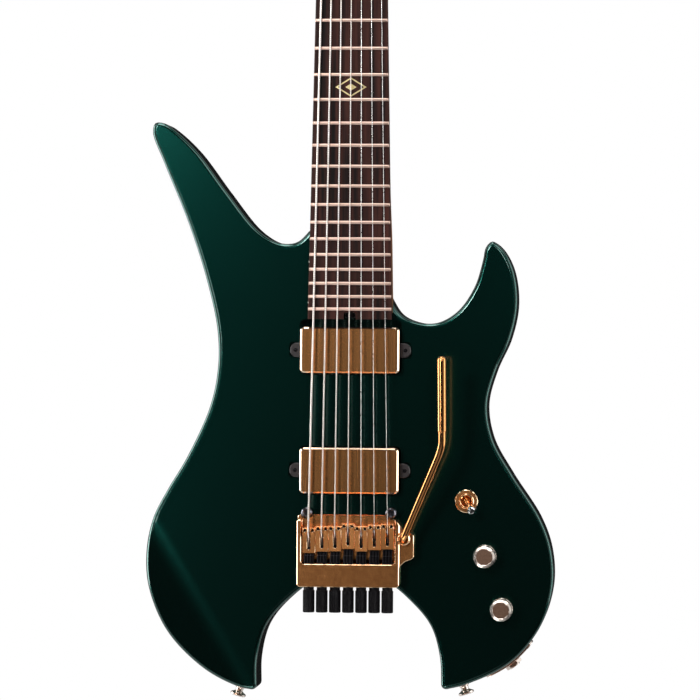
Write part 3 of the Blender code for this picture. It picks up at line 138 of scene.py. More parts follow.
def new_finish(name, colour, roughness, **plain):
    """A finish with the shader's plain values. Its pattern reads object coordinates, in metres."""
    finish = bpy.data.materials.new(name)
    finish.use_nodes = True
    shader = finish.node_tree.nodes["Principled BSDF"]
    shader.inputs["Base Color"].default_value = linear(colour)
    shader.inputs["Roughness"].default_value = roughness
    for socket, value in plain.items():
        shader.inputs[socket.replace("_", " ")].default_value = value
    return finish, shader, add_node(finish, "ShaderNodeTexCoord").outputs["Object"]


def feed(finish, shader, **sockets):
    """Links outputs to the shader's inputs, which are named with _ for a space."""
    for name, output in sockets.items():
        finish.node_tree.links.new(output, shader.inputs[name.replace("_", " ")])


def noise(finish, vector, size, detail, **inputs):
    """Soft noise, from 0 to 1, with lumps of this size in metres."""
    inputs = {"Vector": vector, "Scale": 1 / size, "Detail": detail, **inputs}
    return add_node(finish, "ShaderNodeTexNoise", inputs).outputs["Fac"]


def ranged(finish, value, low, high, start=0.0, end=1.0, **settings):
    """A value that runs from start to end, stretched to run from low to high."""
    inputs = {"Value": value, "From Min": start, "From Max": end, "To Min": low, "To Max": high}
    return add_node(finish, "ShaderNodeMapRange", inputs, **settings).outputs[0]


def worked(finish, operation, *values):
    """What an operation such as MULTIPLY makes of its values, which are numbers or sockets."""
    return add_node(finish, "ShaderNodeMath", dict(enumerate(values)), operation=operation).outputs[0]


def shared(finish, share, low, high):
    """A number from low to high by a share."""
    return add_node(finish, "ShaderNodeMix", {0: share, 2: low, 3: high}, data_type="FLOAT").outputs[0]


def mixed(finish, share, low, high):
    """A colour from low to high by a share. Each is written as hex, or a socket to link from."""
    pair = [linear(colour) if isinstance(colour, str) else colour for colour in (low, high)]
    return add_node(finish, "ShaderNodeMix", {0: share, 6: pair[0], 7: pair[1]}, data_type="RGBA").outputs[2]


def bumped(finish, height, strength, distance):
    """A surface that a pattern seems to raise by up to this distance."""
    inputs = {"Height": height, "Strength": strength, "Distance": distance}
    return add_node(finish, "ShaderNodeBump", inputs).outputs[0]


def mottled(name, colour, roughness, size, detail, tones=None, dulls=None, relief=None, **plain):
    """A finish whose tone, dullness and relief wander with one soft noise."""
    finish, shader, place = new_finish(name, colour, roughness, **plain)
    spots = noise(finish, place, size, detail)
    if tones:
        feed(finish, shader, Base_Color=mixed(finish, spots, *tones))
    if dulls:
        feed(finish, shader, Roughness=ranged(finish, spots, *dulls))
    if relief:
        feed(finish, shader, Normal=bumped(finish, spots, *relief))
    return finish


def smooth_outline(points, step):
    """Points along a closed curve through the given ones, with sharp corners where marked."""
    count = len(points)
    out = []
    for i, point in enumerate(points):
        here, there = Vector(point[:2]), Vector(points[(i + 1) % count][:2])
        before = here if len(point) > 2 else Vector(points[i - 1][:2])
        after = there if len(points[(i + 1) % count]) > 2 else Vector(points[(i + 2) % count][:2])
        pieces = max(1, round((there - here).length / step))
        for k in range(pieces):
            out.append(curve_point(before, here, there, after, k / pieces))
    return out


def curve_point(before, here, there, after, t):
    """A point on the centripetal curve between here and there."""
    first = max((here - before).length, 1e-9)
    last = max((after - there).length, 1e-9)
    a, b, c = math.sqrt(first), math.sqrt((there - here).length), math.sqrt(last)
    straight = there - here
    into, out_of = straight, straight
    if first > 1e-8:
        into = b * ((here - before) / a - (there - before) / (a + b) + straight / b)
    if last > 1e-8:
        out_of = b * (straight / b - (after - here) / (b + c) + (after - there) / c)
    t2, t3 = t * t, t * t * t
    return (
        (2 * t3 - 3 * t2 + 1) * here + (t3 - 2 * t2 + t) * into
        + (3 * t2 - 2 * t3) * there + (t3 - t2) * out_of
    )


def slab(outline, low, high):
    """An outline in X and Z, as thick as from height low to height high above the front face."""
    bm = bmesh.new()
    face = bm.faces.new([bm.verts.new((x, -low, z)) for x, z in outline])
    raised = bmesh.ops.extrude_face_region(bm, geom=[face])["geom"]
    verts = [g for g in raised if isinstance(g, bmesh.types.BMVert)]
    bmesh.ops.translate(bm, verts=verts, vec=(0, low - high, 0))
    bmesh.ops.recalc_face_normals(bm, faces=bm.faces)
    return bm


def cube(middle, size):
    """A box by its middle and its three sizes."""
    bm = bmesh.new()
    bmesh.ops.create_cube(bm, size=1.0, matrix=Matrix.Translation(middle) @ Matrix.Diagonal((*size, 1)))
    bmesh.ops.recalc_face_normals(bm, faces=bm.faces)
    return bm


def box(x, heights, z):
    """A box between two values of X, two heights above the front face and two values of Z."""
    low, high = Vector((x[0], -heights[1], z[0])), Vector((x[1], -heights[0], z[1]))
    return cube((low + high) / 2, high - low)


def round_edges(bm, radius, segments, test):
    """Rounds the edges whose two ends pass the test."""
    edges = [e for e in bm.edges if test(*(v.co for v in e.verts))]
    bmesh.ops.bevel(
        bm, geom=edges, offset=radius, offset_type="OFFSET", segments=segments, profile=0.5,
        affect="EDGES", material=-1,
    )
    return bm


def along_depth(a, b):
    """True for an edge that runs straight from front to back."""
    return abs(a.x - b.x) < 1e-7 and abs(a.z - b.z) < 1e-7


def along_z(a, b):
    """True for an edge that runs straight along Z."""
    return abs(a.x - b.x) < 1e-7 and abs(a.y - b.y) < 1e-7


def at_height(height):
    """A test for the edges that lie at a height above the front face."""
    return lambda a, b: abs(a.y + height) < 1e-7 and abs(b.y + height) < 1e-7


def rounded_box(x, heights, z, radius, segments=6):
    """A box whose four corners, seen from the front, are round."""
    return round_edges(box(x, heights, z), radius, segments, along_depth)


def facing(direction, at):
    """The matrix that stands a turned piece at a point, with its +Z along the direction."""
    return Matrix.Translation(at) @ Vector(direction).to_track_quat("Z", "Y").to_matrix().to_4x4()


def rod(radius, start, direction, length, sides=32):
    """A plain rod from a point along a direction, to bore a hole or to join on."""
    bm = bmesh.new()
    middle = Vector(start) + Vector(direction) * length / 2
    bmesh.ops.create_cone(
        bm, cap_ends=True, segments=sides, radius1=radius, radius2=radius, depth=length,
        matrix=facing(direction, middle),
    )
    return bm


def wrapped(rings):
    """A closed skin over rings of equally many points: a grid that is wrapped round them."""
    across = len(rings[0])
    bm = bmesh.new()
    bmesh.ops.create_grid(bm, x_segments=across, y_segments=len(rings) - 1, size=1.0)
    bm.verts.ensure_lookup_table()
    for k, vert in enumerate(bm.verts):
        row, column = divmod(k, across + 1)
        vert.co = rings[row][column % across]
    bmesh.ops.remove_doubles(bm, verts=bm.verts, dist=1e-7)
    bmesh.ops.holes_fill(bm, edges=bm.edges)
    bmesh.ops.recalc_face_normals(bm, faces=bm.faces)
    return bm


def as_mesh(name, bm):
    """Mesh data made from a bmesh, which is used up."""
    mesh = bpy.data.meshes.new(name)
    bm.to_mesh(mesh)
    bm.free()
    return mesh


def as_object(name, bm):
    made = bpy.data.objects.new(name, as_mesh(name, bm))
    bpy.context.scene.collection.objects.link(made)
    return made


def worked_out(blank, *tools):
    """The blank's mesh with its modifiers worked out. The blank and its tools are used up."""
    shaped = bpy.data.meshes.new_from_object(blank.evaluated_get(bpy.context.evaluated_depsgraph_get()))
    out = bmesh.new()
    out.from_mesh(shaped)
    bpy.data.meshes.remove(shaped)
    for used in (blank, *tools):
        mesh = used.data
        bpy.data.objects.remove(used)
        bpy.data.meshes.remove(mesh)
    return out


def carved(bm, cuts=(), joins=(), within=()):
    """The bmesh kept within some tools, with the joins added on, and then the cuts taken out."""
    blank = as_object("blank", bm)
    steps = [("INTERSECT", tool) for tool in within] + [("UNION", tool) for tool in joins]
    steps += [("DIFFERENCE", tool) for tool in cuts]
    tools = []
    for operation, tool in steps:
        tools.append(as_object("tool", tool))
        step = blank.modifiers.new("step", "BOOLEAN")
        step.operation = operation
        step.solver = "EXACT"
        step.object = tools[-1]
    out = worked_out(blank, *tools)
    bmesh.ops.holes_fill(out, edges=[e for e in out.edges if e.is_boundary])
    return out


def chamfered(bm, width, angle=32):
    """The bmesh with a narrow flat chamfer along every edge that is sharper than the angle."""
    bmesh.ops.dissolve_limit(bm, angle_limit=math.radians(0.5), verts=bm.verts, edges=bm.edges)
    blank = as_object("blank", bm)
    step = blank.modifiers.new("chamfer", "BEVEL")
    step.width = width
    step.segments = 1
    step.limit_method = "ANGLE"
    step.angle_limit = math.radians(angle)
    step.use_clamp_overlap = False
    return worked_out(blank)


def dress(name, bm, finish, slot, *nodes, body=None, rim=0.0, crease=32):
    """A finished piece in the frame: smooth, with its rims broken, on its body, for its CAD nodes."""
    bmesh.ops.translate(bm, verts=bm.verts, vec=TO_FRAME)
    if rim:
        bm = chamfered(bm, rim)
    piece = as_object(name, bm)
    mesh = piece.data
    mesh.validate()
    mesh.materials.clear()
    mesh.materials.append(finish)
    mesh.polygons.foreach_set("material_index", [0] * len(mesh.polygons))
    mesh.shade_smooth()
    mesh.set_sharp_from_angle(angle=math.radians(crease))
    even = piece.modifiers.new("even_shading", "WEIGHTED_NORMAL")
    even.keep_sharp = True
    even.weight = 100
    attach(piece, body or frame["nodes"][nodes[0]]["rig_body"])
    if nodes:
        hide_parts(*nodes)
    return piece


def line_frame(line):
    """A point on a contour's line, and the direction in which the contour falls away."""
    start, end = (Vector((x, 0, z)) for x, z in line)
    along = (end - start).normalized()
    return start, Vector((along.z, 0, -along.x))


def contour(distance, blend, slope):
    """How deep a contour cuts this far past its line: a soft bend and then an even slope."""
    if distance > blend:
        return slope * distance
    return slope * max(distance + blend, 0.0) ** 2 / (4 * blend)


def spaced(low, high, count):
    return [low + (high - low) * k / count for k in range(count + 1)]


def bend_lines(bm, start, normal, places, side, right_end=1.0):
    """Adds lines of vertices across one face of the body, where a contour bends."""
    for place in places:
        faces = [f for f in bm.faces if f.normal.y * side > 0.3]
        faces = [f for f in faces if max(v.co.x for v in f.verts) < right_end + 1e-6]
        edges = {e for f in faces for e in f.edges}
        verts = {v for f in faces for v in f.verts}
        bmesh.ops.bisect_plane(
            bm, geom=[*verts, *edges, *faces], dist=1e-6, plane_co=start + normal * place,
            plane_no=normal,
        )


def belly_share(z):
    """The belly contour's share of its full depth at this height up the body."""
    rise = min((z - BELLY_FROM) / BELLY_FADE, (BELLY_TO - z) / BELLY_FADE, 1.0)
    t = max(rise, 0.0)
    return t * t * (3 - 2 * t)


def body_blank():
    """The body before its pockets: the outline, its round edges and its two contours."""
    corners = [Vector(p[:2]) for p in BODY_OUTLINE if len(p) > 2]
    outline = [
        p for p in smooth_outline(BODY_OUTLINE, OUTLINE_STEP)
        if all(not 1e-6 < (p - c).length < LEG_CORNER_RADIUS * 1.1 for c in corners)
    ]
    legs = [c for c in corners if c.y < 0]
    bm = slab(outline, -BODY_THICKNESS, 0.0)
    round_edges(
        bm, LEG_CORNER_RADIUS, 6,
        lambda a, b: along_depth(a, b) and any((Vector((a.x, a.z)) - c).length < 1e-6 for c in legs),
    )
    bmesh.ops.remove_doubles(bm, verts=bm.verts, dist=2e-5)
    round_edges(bm, EDGE_ROUND, 5, lambda a, b: abs(a.y - b.y) < 1e-7)
    front_start, front_normal = line_frame(FOREARM_LINE)
    bend_lines(bm, front_start, front_normal, spaced(-FOREARM_BLEND, FOREARM_BLEND, 12), -1)
    back_start, back_normal = line_frame(BELLY_LINE)
    bend_lines(bm, Vector(), Vector((1, 0, 0)), (BELLY_SIDE,), 1)
    bend_lines(bm, back_start, back_normal, spaced(-BELLY_BLEND, BELLY_BLEND, 8), 1)
    bend_lines(bm, Vector(), UP, spaced(BELLY_FROM, BELLY_TO, 24), 1, BELLY_SIDE)
    for v in bm.verts:
        if v.co.y < EDGE_ROUND + 1e-6:
            v.co.y += contour((v.co - front_start).dot(front_normal), FOREARM_BLEND, FOREARM_SLOPE)
        elif v.co.y > BODY_THICKNESS - EDGE_ROUND - 1e-6:
            depth = contour((v.co - back_start).dot(back_normal), BELLY_BLEND, BELLY_SLOPE)
            v.co.y -= depth * belly_share(v.co.z)
    return bm


# Pockets that other pieces sit in. Each takes its size from the piece and a clearance.

SCALE_LENGTH = 0.6731
FRETS = 24
BOARD_TOP = 0.013
BOARD_THICKNESS = 0.006
BOARD_END = SCALE_LENGTH * 2 ** (-FRETS / 12) - 0.008175
TENON_END = BOARD_END + 0.0055
NUT_WIDTH = 0.048
LAST_FRET_WIDTH = 0.0675
NECK_DEPTH_NUT = 0.0145
NECK_DEPTH_BODY = 0.0165
HEEL_DEPTH = 0.023
HEEL_START = 0.218
HEEL_BLEND = 0.045
NECK_END = 0.712
PICKUP_WIDTH = 0.0795
PICKUP_LENGTH = 0.0366
PICKUP_CORNER = 0.0032
PICKUP_TOP = 0.0100
COVER_WALL = 0.0010
COVER_SKIRT = 0.0016
PICKUP_BASE_THICKNESS = 0.0020
EAR_SPAN = 0.0974
EAR_LENGTH = 0.0115
EAR_TOP = 0.0016
EAR_HOLE_SPACING = 0.0888
EAR_HOLE_RADIUS = 0.0016
NECK_PICKUP_Z = 0.1352
BRIDGE_PICKUP_Z = 0.0383
CAVITY_MARGIN = 0.0016
PICKUP_CAVITY_DEPTH = 0.0200
PIVOT_Z = 0.0043
STUD_SPACING = 0.0678
STUD_RADIUS = 0.0042
STUD_TOP = 0.0115
STUD_DEPTH = 0.018
STUD_SOCKET_RADIUS = 0.0019
STUD_SOCKET_DEPTH = 0.0030
WELL_HALF_WIDTH = 0.0355
WELL_FRONT = -0.0045
WELL_BACK = -0.0360
SPRING_CAVITY_HALF = 0.0265
SPRING_CAVITY_TOP = 0.088
SPRING_CAVITY_DEPTH = 0.0175
COVER_LEDGE = 0.0045
COVER_THICKNESS = 0.0020
COVER_CORNER = 0.006
CONTROL_WALL = 0.006
CONTROL_OUTLINE = (
    (0.0930, 0.0330), (0.0800, 0.0200), (0.0820, -0.0060), (0.0930, -0.0440), (0.1010, -0.0760),
    (0.1100, -0.0970), (0.1270, -0.1000), (0.1390, -0.0840), (0.1400, -0.0560), (0.1300, -0.0220),
    (0.1190, 0.0080), (0.1090, 0.0280),
)
VOLUME_AT = (0.1095, -0.0297)
TONE_AT = (0.1231, -0.0723)
SWITCH_AT = (0.0944, 0.0144)
POT_BUSH_RADIUS = 0.0040
SWITCH_BUSH_RADIUS = 0.0059
JACK_AT = (0.1305, -0.1153)
JACK_WALL = 0.0075
JACK_BUSH_RADIUS = 0.0046
JACK_BODY_RADIUS = 0.0072


def board_width(z):
    """The board's width, which tapers from the last fret to the nut."""
    last = SCALE_LENGTH * 2 ** (-FRETS / 12)
    share = min((z - last) / (SCALE_LENGTH - last), 1.0)
    return LAST_FRET_WIDTH + (NUT_WIDTH - LAST_FRET_WIDTH) * share


def neck_rings(grow=0.0):
    """Rings round the neck from its tenon to its end: a flat top and a round or squarer back."""
    stations = (
        (TENON_END - grow, HEEL_DEPTH, 1.0), (HEEL_START, HEEL_DEPTH, 1.0),
        (HEEL_START + HEEL_BLEND * 0.15, HEEL_DEPTH * 0.98, 0.92),
        (HEEL_START + HEEL_BLEND * 0.35, 0.0214, 0.68), (HEEL_START + HEEL_BLEND * 0.55, 0.0192, 0.44),
        (HEEL_START + HEEL_BLEND * 0.78, 0.0174, 0.22), (HEEL_START + HEEL_BLEND, NECK_DEPTH_BODY, 0.1),
        (HEEL_START + HEEL_BLEND * 1.3, 0.0163, 0.06), (0.45, 0.0155, 0.05),
        (SCALE_LENGTH - 0.03, NECK_DEPTH_NUT, 0.05), (SCALE_LENGTH - 0.014, NECK_DEPTH_NUT, 0.13),
        (SCALE_LENGTH - 0.004, NECK_DEPTH_NUT, 0.3), (NECK_END - 0.004, NECK_DEPTH_NUT, 0.4),
        (NECK_END - 0.0012, NECK_DEPTH_NUT - 0.0008, 0.4), (NECK_END + grow, NECK_DEPTH_NUT - 0.003, 0.4),
    )
    rings = []
    for z, depth, squareness in stations:
        half = board_width(min(z, SCALE_LENGTH)) / 2 + grow
        top = BOARD_TOP - BOARD_THICKNESS - FIT
        power = 2 / (2 + squareness * 10)
        ring = []
        for k in range(33):
            turn = math.pi * k / 32
            x = math.copysign(abs(math.cos(turn)) ** power, math.cos(turn)) * half
            ring.append((x, -(top - abs(math.sin(turn)) ** power * (depth + grow)), z))
        rings.append(ring)
    return rings


def ear_seat():
    """How deep the underside of a pickup's base lies under the body's front face."""
    return COVER_SKIRT + FIT + PICKUP_BASE_THICKNESS


def pickup_cavities(z, top):
    """The pocket for a pickup, and the shallow slot for its ears."""
    half = PICKUP_WIDTH / 2 + CAVITY_MARGIN
    reach = PICKUP_LENGTH / 2 + CAVITY_MARGIN
    ear_half = EAR_SPAN / 2 + CAVITY_MARGIN * 0.6
    ear_reach = EAR_LENGTH / 2 + CAVITY_MARGIN * 0.6
    return [
        rounded_box(
            (-half, half), (-PICKUP_CAVITY_DEPTH, OVERCUT), (z - reach, top or z + reach),
            PICKUP_CORNER + CAVITY_MARGIN,
        ),
        rounded_box(
            (-ear_half, ear_half), (-ear_seat() - FIT, OVERCUT), (z - ear_reach, z + ear_reach), 0.003
        ),
    ]


def spring_cover_outline(grow):
    """The cover over the springs: a long rectangle with round corners."""
    half = max(WELL_HALF_WIDTH, SPRING_CAVITY_HALF) + COVER_LEDGE + grow
    low, high = WELL_BACK - COVER_LEDGE - grow, SPRING_CAVITY_TOP + COVER_LEDGE + grow
    radius = COVER_CORNER + grow
    corners = (
        (-half + radius, high - radius, 180), (half - radius, high - radius, 90),
        (half - radius, low + radius, 0), (-half + radius, low + radius, -90),
    )
    turns = [(cx, cz, math.radians(start - 15 * k)) for cx, cz, start in corners for k in range(7)]
    return [Vector((cx + radius * math.cos(t), cz + radius * math.sin(t))) for cx, cz, t in turns]


def offset_outline(points, distance):
    """The outline moved outwards by a distance. It runs counterclockwise as seen from -Y."""
    out = []
    for i, point in enumerate(points):
        along = (points[(i + 1) % len(points)] - points[i - 1]).normalized()
        out.append(point + Vector((along.y, -along.x)) * distance)
    return out


def control_outline(grow):
    return offset_outline(smooth_outline(CONTROL_OUTLINE, 0.004), grow)


def edge_axis(at):
    """A point on the body's edge, half way through its thickness, and the way out of it."""
    outline = smooth_outline(BODY_OUTLINE, 0.003)
    near = min(range(len(outline)), key=lambda k: (outline[k] - Vector(at)).length)
    along = (outline[near + 1] - outline[near - 1]).normalized()
    return Vector((outline[near].x, BODY_THICKNESS / 2, outline[near].y)), Vector((along.y, 0, -along.x))


def body_cuts():
    """Every pocket, hole and recess in the body."""
    behind = -BODY_THICKNESS - OVERCUT
    cuts = [wrapped(neck_rings(FIT))]
    cuts += pickup_cavities(NECK_PICKUP_Z, BOARD_END) + pickup_cavities(BRIDGE_PICKUP_Z, None)
    for side in (-1, 1):
        at = (side * STUD_SPACING / 2, -STUD_TOP, PIVOT_Z)
        cuts.append(rod(STUD_RADIUS + FIT, at, BACK, STUD_TOP + STUD_DEPTH + FIT))
    cuts.append(rounded_box(
        (-WELL_HALF_WIDTH, WELL_HALF_WIDTH), (behind, OVERCUT), (WELL_BACK, WELL_FRONT), 0.002
    ))
    cuts.append(rounded_box(
        (-SPRING_CAVITY_HALF, SPRING_CAVITY_HALF), (behind, -BODY_THICKNESS + SPRING_CAVITY_DEPTH),
        (WELL_BACK, SPRING_CAVITY_TOP), 0.004,
    ))
    recess = -BODY_THICKNESS + COVER_THICKNESS + FIT
    cuts.append(slab(spring_cover_outline(FIT), behind, recess))
    cuts.append(slab(control_outline(0.0), behind, -CONTROL_WALL))
    cuts.append(slab(control_outline(COVER_LEDGE + FIT), behind, recess))
    for (x, z), radius in (
        (VOLUME_AT, POT_BUSH_RADIUS), (TONE_AT, POT_BUSH_RADIUS), (SWITCH_AT, SWITCH_BUSH_RADIUS)
    ):
        cuts.append(rod(radius + FIT, (x, -OVERCUT, z), BACK, OVERCUT + CONTROL_WALL + 0.002))
    outside, out = edge_axis(JACK_AT)
    cuts.append(rod(JACK_BUSH_RADIUS + FIT, outside + out * OVERCUT, -out, OVERCUT + JACK_WALL + 0.004))
    cuts.append(rod(JACK_BODY_RADIUS + FIT, outside - out * JACK_WALL, -out, 0.020))
    return cuts


FLAKE_SIZE = 0.0009

# Metallic lacquer: fine flakes in a green tint over dark ground, under a clear coat. The flakes catch
# a soft, wide light and leave the rest of the flat almost black. Real flakes are 0.05 mm, and they
# are drawn at 0.9 mm so that they show at all.
lacquer, shader, place = new_finish(
    "green_metallic_lacquer", "#043b34", 0.21, Metallic=1.0, Coat_Weight=1.0, Coat_Roughness=0.09
)
flakes = add_node(lacquer, "ShaderNodeTexVoronoi", {"Vector": place, "Scale": 1 / FLAKE_SIZE})
clouds = noise(lacquer, place, 0.09, 2.0)
tint = mixed(lacquer, clouds, "#03362f", "#043e36")
share = ranged(lacquer, flakes.outputs["Color"], 0.0, 0.4)
glint = mixed(lacquer, share, tint, "#084b42")
feed(lacquer, shader, Base_Color=glint)

dress("body_lacquered", carved(body_blank(), body_cuts()), lacquer, "green_lacquer", "body")

# The neck is a long wedge of roasted maple with a squared tenon, let into the body's pocket. Its back
# is sanded to an open satin, which shows brown growth lines along the grain.

maple, shader, place = new_finish("roasted_maple_satin", "#7a4a26", 0.48)
grain = add_node(maple, "ShaderNodeMapping", {"Vector": place, "Scale": (1.0, 1.0, 0.04)})
lines = noise(maple, grain.outputs[0], 0.0022, 5.0, Distortion=0.4)
figure = noise(maple, place, 0.018, 3.0)
wood = mixed(maple, lines, "#5b3319", "#96602f")
shade = mixed(maple, figure, wood, "#6d3f20")
pores = bumped(maple, lines, 0.15, 0.0002)
feed(maple, shader, Base_Color=shade, Normal=pores)

WHEEL_RADIUS = 0.0042
WHEEL_THICKNESS = 0.0041
WHEEL_SHAFT_RADIUS = 0.0024
WHEEL_SHAFT_LENGTH = 0.012
WHEEL_HOLES = 6
WHEEL_HOLE_RADIUS = 0.00085
wheel_height = WHEEL_RADIUS + 0.0004
bore = rod(
    WHEEL_SHAFT_RADIUS + FIT, (0, -wheel_height, TENON_END - 0.002), UP, WHEEL_SHAFT_LENGTH + FIT + 0.002
)
dress("neck_maple", carved(wrapped(neck_rings()), [bore]), maple, "neck_maple", "neck")

# The fretboard is ebony, planed to a round top, with 24 slots for the frets. It is oiled, not
# lacquered, so it is dark with fine open pores along the grain and only a dull sheen.

BOARD_RADIUS = 0.406
BOARD_CHAMFER = 0.0008

ebony, shader, place = new_finish("ebony_oiled", "#1c0e0b", 0.55, Specular_IOR_Level=0.12)
grain = add_node(ebony, "ShaderNodeMapping", {"Vector": place, "Scale": (1.0, 1.0, 0.03)})
streaks = noise(ebony, grain.outputs[0], 0.0035, 6.0)
spread = ranged(ebony, streaks, 0.0, 1.0, 0.35, 0.65)
wood = mixed(ebony, spread, "#0a0504", "#3b1d17")
pores = bumped(ebony, streaks, 0.2, 0.0002)
feed(ebony, shader, Base_Color=wood, Normal=pores)


def crown_drop(x):
    """How far the board's round top has fallen this far from its middle."""
    return x * x / (2 * BOARD_RADIUS)


def fret_place(number):
    """How far a fret lies from the scale line, in equal temperament."""
    return SCALE_LENGTH * 2 ** (-number / 12)


def board_ring(z):
    """The board's section: a flat underside, straight sides, a small chamfer and a round top."""
    half, bottom = board_width(z) / 2, BOARD_TOP - BOARD_THICKNESS
    side = BOARD_TOP - crown_drop(half) - BOARD_CHAMFER
    ring = [(-half, -bottom, z), (half, -bottom, z), (half, -side, z)]
    edge = half - BOARD_CHAMFER
    ring += [(x, -(BOARD_TOP - crown_drop(x)), z) for x in spaced(edge, -edge, 14)]
    return ring + [(-half, -side, z)]


notch_half = WHEEL_RADIUS + 0.0007
notch = rounded_box(
    (-notch_half, notch_half), (0.0, BOARD_TOP + OVERCUT), (BOARD_END - OVERCUT, TENON_END), 0.002
)
rings = [board_ring(z) for z in spaced(BOARD_END, SCALE_LENGTH, 12)]
dress("fretboard_ebony", carved(wrapped(rings), [notch]), ebony, "board_ebony", "fretboard", rim=0.0002)

# The frets are drawn nickel silver wire, bent to the board's round top and pressed into its slots.
# Their ends are filed to a slant, flush with the board's edge, and catch the light.

FRET_HEIGHT = 0.0012
FRET_WIDTH = 0.0026

nickel = mottled(
    "nickel_silver_polished", "#d9b9aa", 0.36, 0.0015, 3.0, dulls=(0.30, 0.42), Metallic=1.0
)


def fret_wire(number):
    """One fret: a half-round bead over the board's crown, with slanted ends."""
    z, half = fret_place(number), board_width(fret_place(number)) / 2 - 0.0002
    slant = (-half, -half + 0.0005, -half + 0.0012)
    rings = []
    for x in (*slant, *spaced(-half * 0.85, half * 0.85, 8), *(-s for s in reversed(slant))):
        rise = FRET_HEIGHT * min(1.0, 0.2 + (half - abs(x)) / 0.0014)
        seat = BOARD_TOP - crown_drop(x)
        ring = [(x, -(seat + rise * math.sin(t)), z + FRET_WIDTH / 2 * math.cos(t))
                for t in spaced(0.0, math.pi, 8)]
        ring += [(x, -(seat - 0.0003), z + side * FRET_WIDTH / 2) for side in (-1, 1)]
        rings.append(ring)
    return wrapped(rings)


for number in range(1, FRETS + 1):
    dress(f"fret_{number}", fret_wire(number), nickel, "bright_steel", body="guitar", crease=50)

# The inlay in the twelfth space is a plain lozenge of brass line let into the ebony, and the side
# dots are short rods of pearl plastic in the bass edge. Both are sanded flush and polished.

INLAY_HALF_WIDTH = 0.0125
INLAY_HALF_LENGTH = 0.0078
INLAY_LINE = 0.16
DOT_RADIUS = 0.0011
DOT_SPACES = (3, 5, 7, 9, 12, 12, 15, 17, 19, 21, 24)

brass = mottled(
    "brass_polished_inlay", "#d8c48e", 0.35, 0.001, 4.0, ("#bfa76c", "#e9dcae"), Metallic=1.0
)


def lozenge(share, rise, depth, middle):
    """A thin lozenge that follows the board's round top, this much larger than its plan."""
    rings = []
    for x in spaced(-INLAY_HALF_WIDTH * share, INLAY_HALF_WIDTH * share, 16):
        length = INLAY_HALF_LENGTH * share * (1.0 - abs(x) / (INLAY_HALF_WIDTH * share)) + 1e-5
        top, low = BOARD_TOP - crown_drop(x) + rise, BOARD_TOP - crown_drop(x) - depth
        rings.append([
            (x, -low, middle - length), (x, -top, middle - length), (x, -top, middle + length),
            (x, -low, middle + length),
        ])
    return wrapped(rings)


inlay_z = (fret_place(11) + fret_place(12)) / 2
frame_line = carved(lozenge(1.0, 0.00003, 0.001, inlay_z), [lozenge(1 - INLAY_LINE, 0.001, 0.002, inlay_z)])
dress("inlay_lozenge_line", frame_line, brass, "board_ebony", body="guitar")
dress("inlay_lozenge_heart", lozenge(0.36, 0.00003, 0.001, inlay_z), brass, "board_ebony", body="guitar")

pearl = mottled("pearl_plastic_polished", "#e6e2d6", 0.25, 0.0008, 3.0, ("#cfc9ba", "#f4f1e8"))

dots = bmesh.new()
for k, space in enumerate(DOT_SPACES):
    z = (fret_place(space - 1) + fret_place(space)) / 2
    if space == 12:
        z += 0.004 if DOT_SPACES[k - 1] == 12 else -0.004
    side = -board_width(z) / 2 - 0.00003
    height = BOARD_TOP - BOARD_THICKNESS / 2
    bmesh.ops.create_cone(
        dots, cap_ends=True, segments=20, radius1=DOT_RADIUS, radius2=DOT_RADIUS, depth=0.001,
        matrix=facing((-1, 0, 0), (side + 0.0005, -height, z)),
    )
dress("side_dots", dots, pearl, "board_ebony", body="guitar")

# The truss rod's wheel is a blackened steel drum with a ring of holes for a pin. It turns on the
# rod's thread in a notch in the board's end, in front of the neck pickup.

black_steel = mottled(
    "black_oxide_steel", "#2a292b", 0.34, 0.0012, 4.0, ("#1a191b", "#343236"), (0.24, 0.46), Metallic=0.9
)


def turned(profile, steps=48, closed=False):
    """A piece turned round its own +Z, from pairs of radius and place along the axis."""
    bm = bmesh.new()
    verts = [bm.verts.new((radius, 0, along)) for radius, along in profile]
    edges = [bm.edges.new(pair) for pair in zip(verts, verts[1:] + (verts[:1] if closed else []))]
    bmesh.ops.spin(
        bm, geom=verts + edges, cent=(0, 0, 0), axis=(0, 0, 1), angle=2 * math.pi, steps=steps,
        use_merge=True,
    )
    bmesh.ops.remove_doubles(bm, verts=bm.verts, dist=1e-7)
    bmesh.ops.recalc_face_normals(bm, faces=bm.faces)
    return bm


def placed(bm, matrix):
    bm.transform(matrix)
    return bm


face = TENON_END - FIT
wheel = turned((
    (0, face - WHEEL_THICKNESS), (WHEEL_RADIUS - 0.0005, face - WHEEL_THICKNESS),
    (WHEEL_RADIUS, face - WHEEL_THICKNESS + 0.0005), (WHEEL_RADIUS, face - 0.0005),
    (WHEEL_RADIUS - 0.0005, face), (WHEEL_SHAFT_RADIUS, face),
    (WHEEL_SHAFT_RADIUS, TENON_END + WHEEL_SHAFT_LENGTH), (0, TENON_END + WHEEL_SHAFT_LENGTH),
))
spokes = []
for k in range(WHEEL_HOLES):
    turn = math.tau * (k + 0.5) / WHEEL_HOLES
    out = Vector((math.cos(turn), math.sin(turn), 0))
    rim_point = out * (WHEEL_RADIUS + 0.001) + UP * (face - WHEEL_THICKNESS / 2)
    spokes.append(rod(WHEEL_HOLE_RADIUS, rim_point, -out, 0.003, 16))
wheel = placed(carved(wheel, spokes), Matrix.Translation((0, -wheel_height, 0)))
dress("truss_rod_wheel_turned", wheel, black_steel, "black_plate", "truss_rod_wheel")

# The nut is a bar of black graphite plastic across the board's end, filed with a slot for each
# string. It is polished by hand, so it has a soft, greasy sheen.

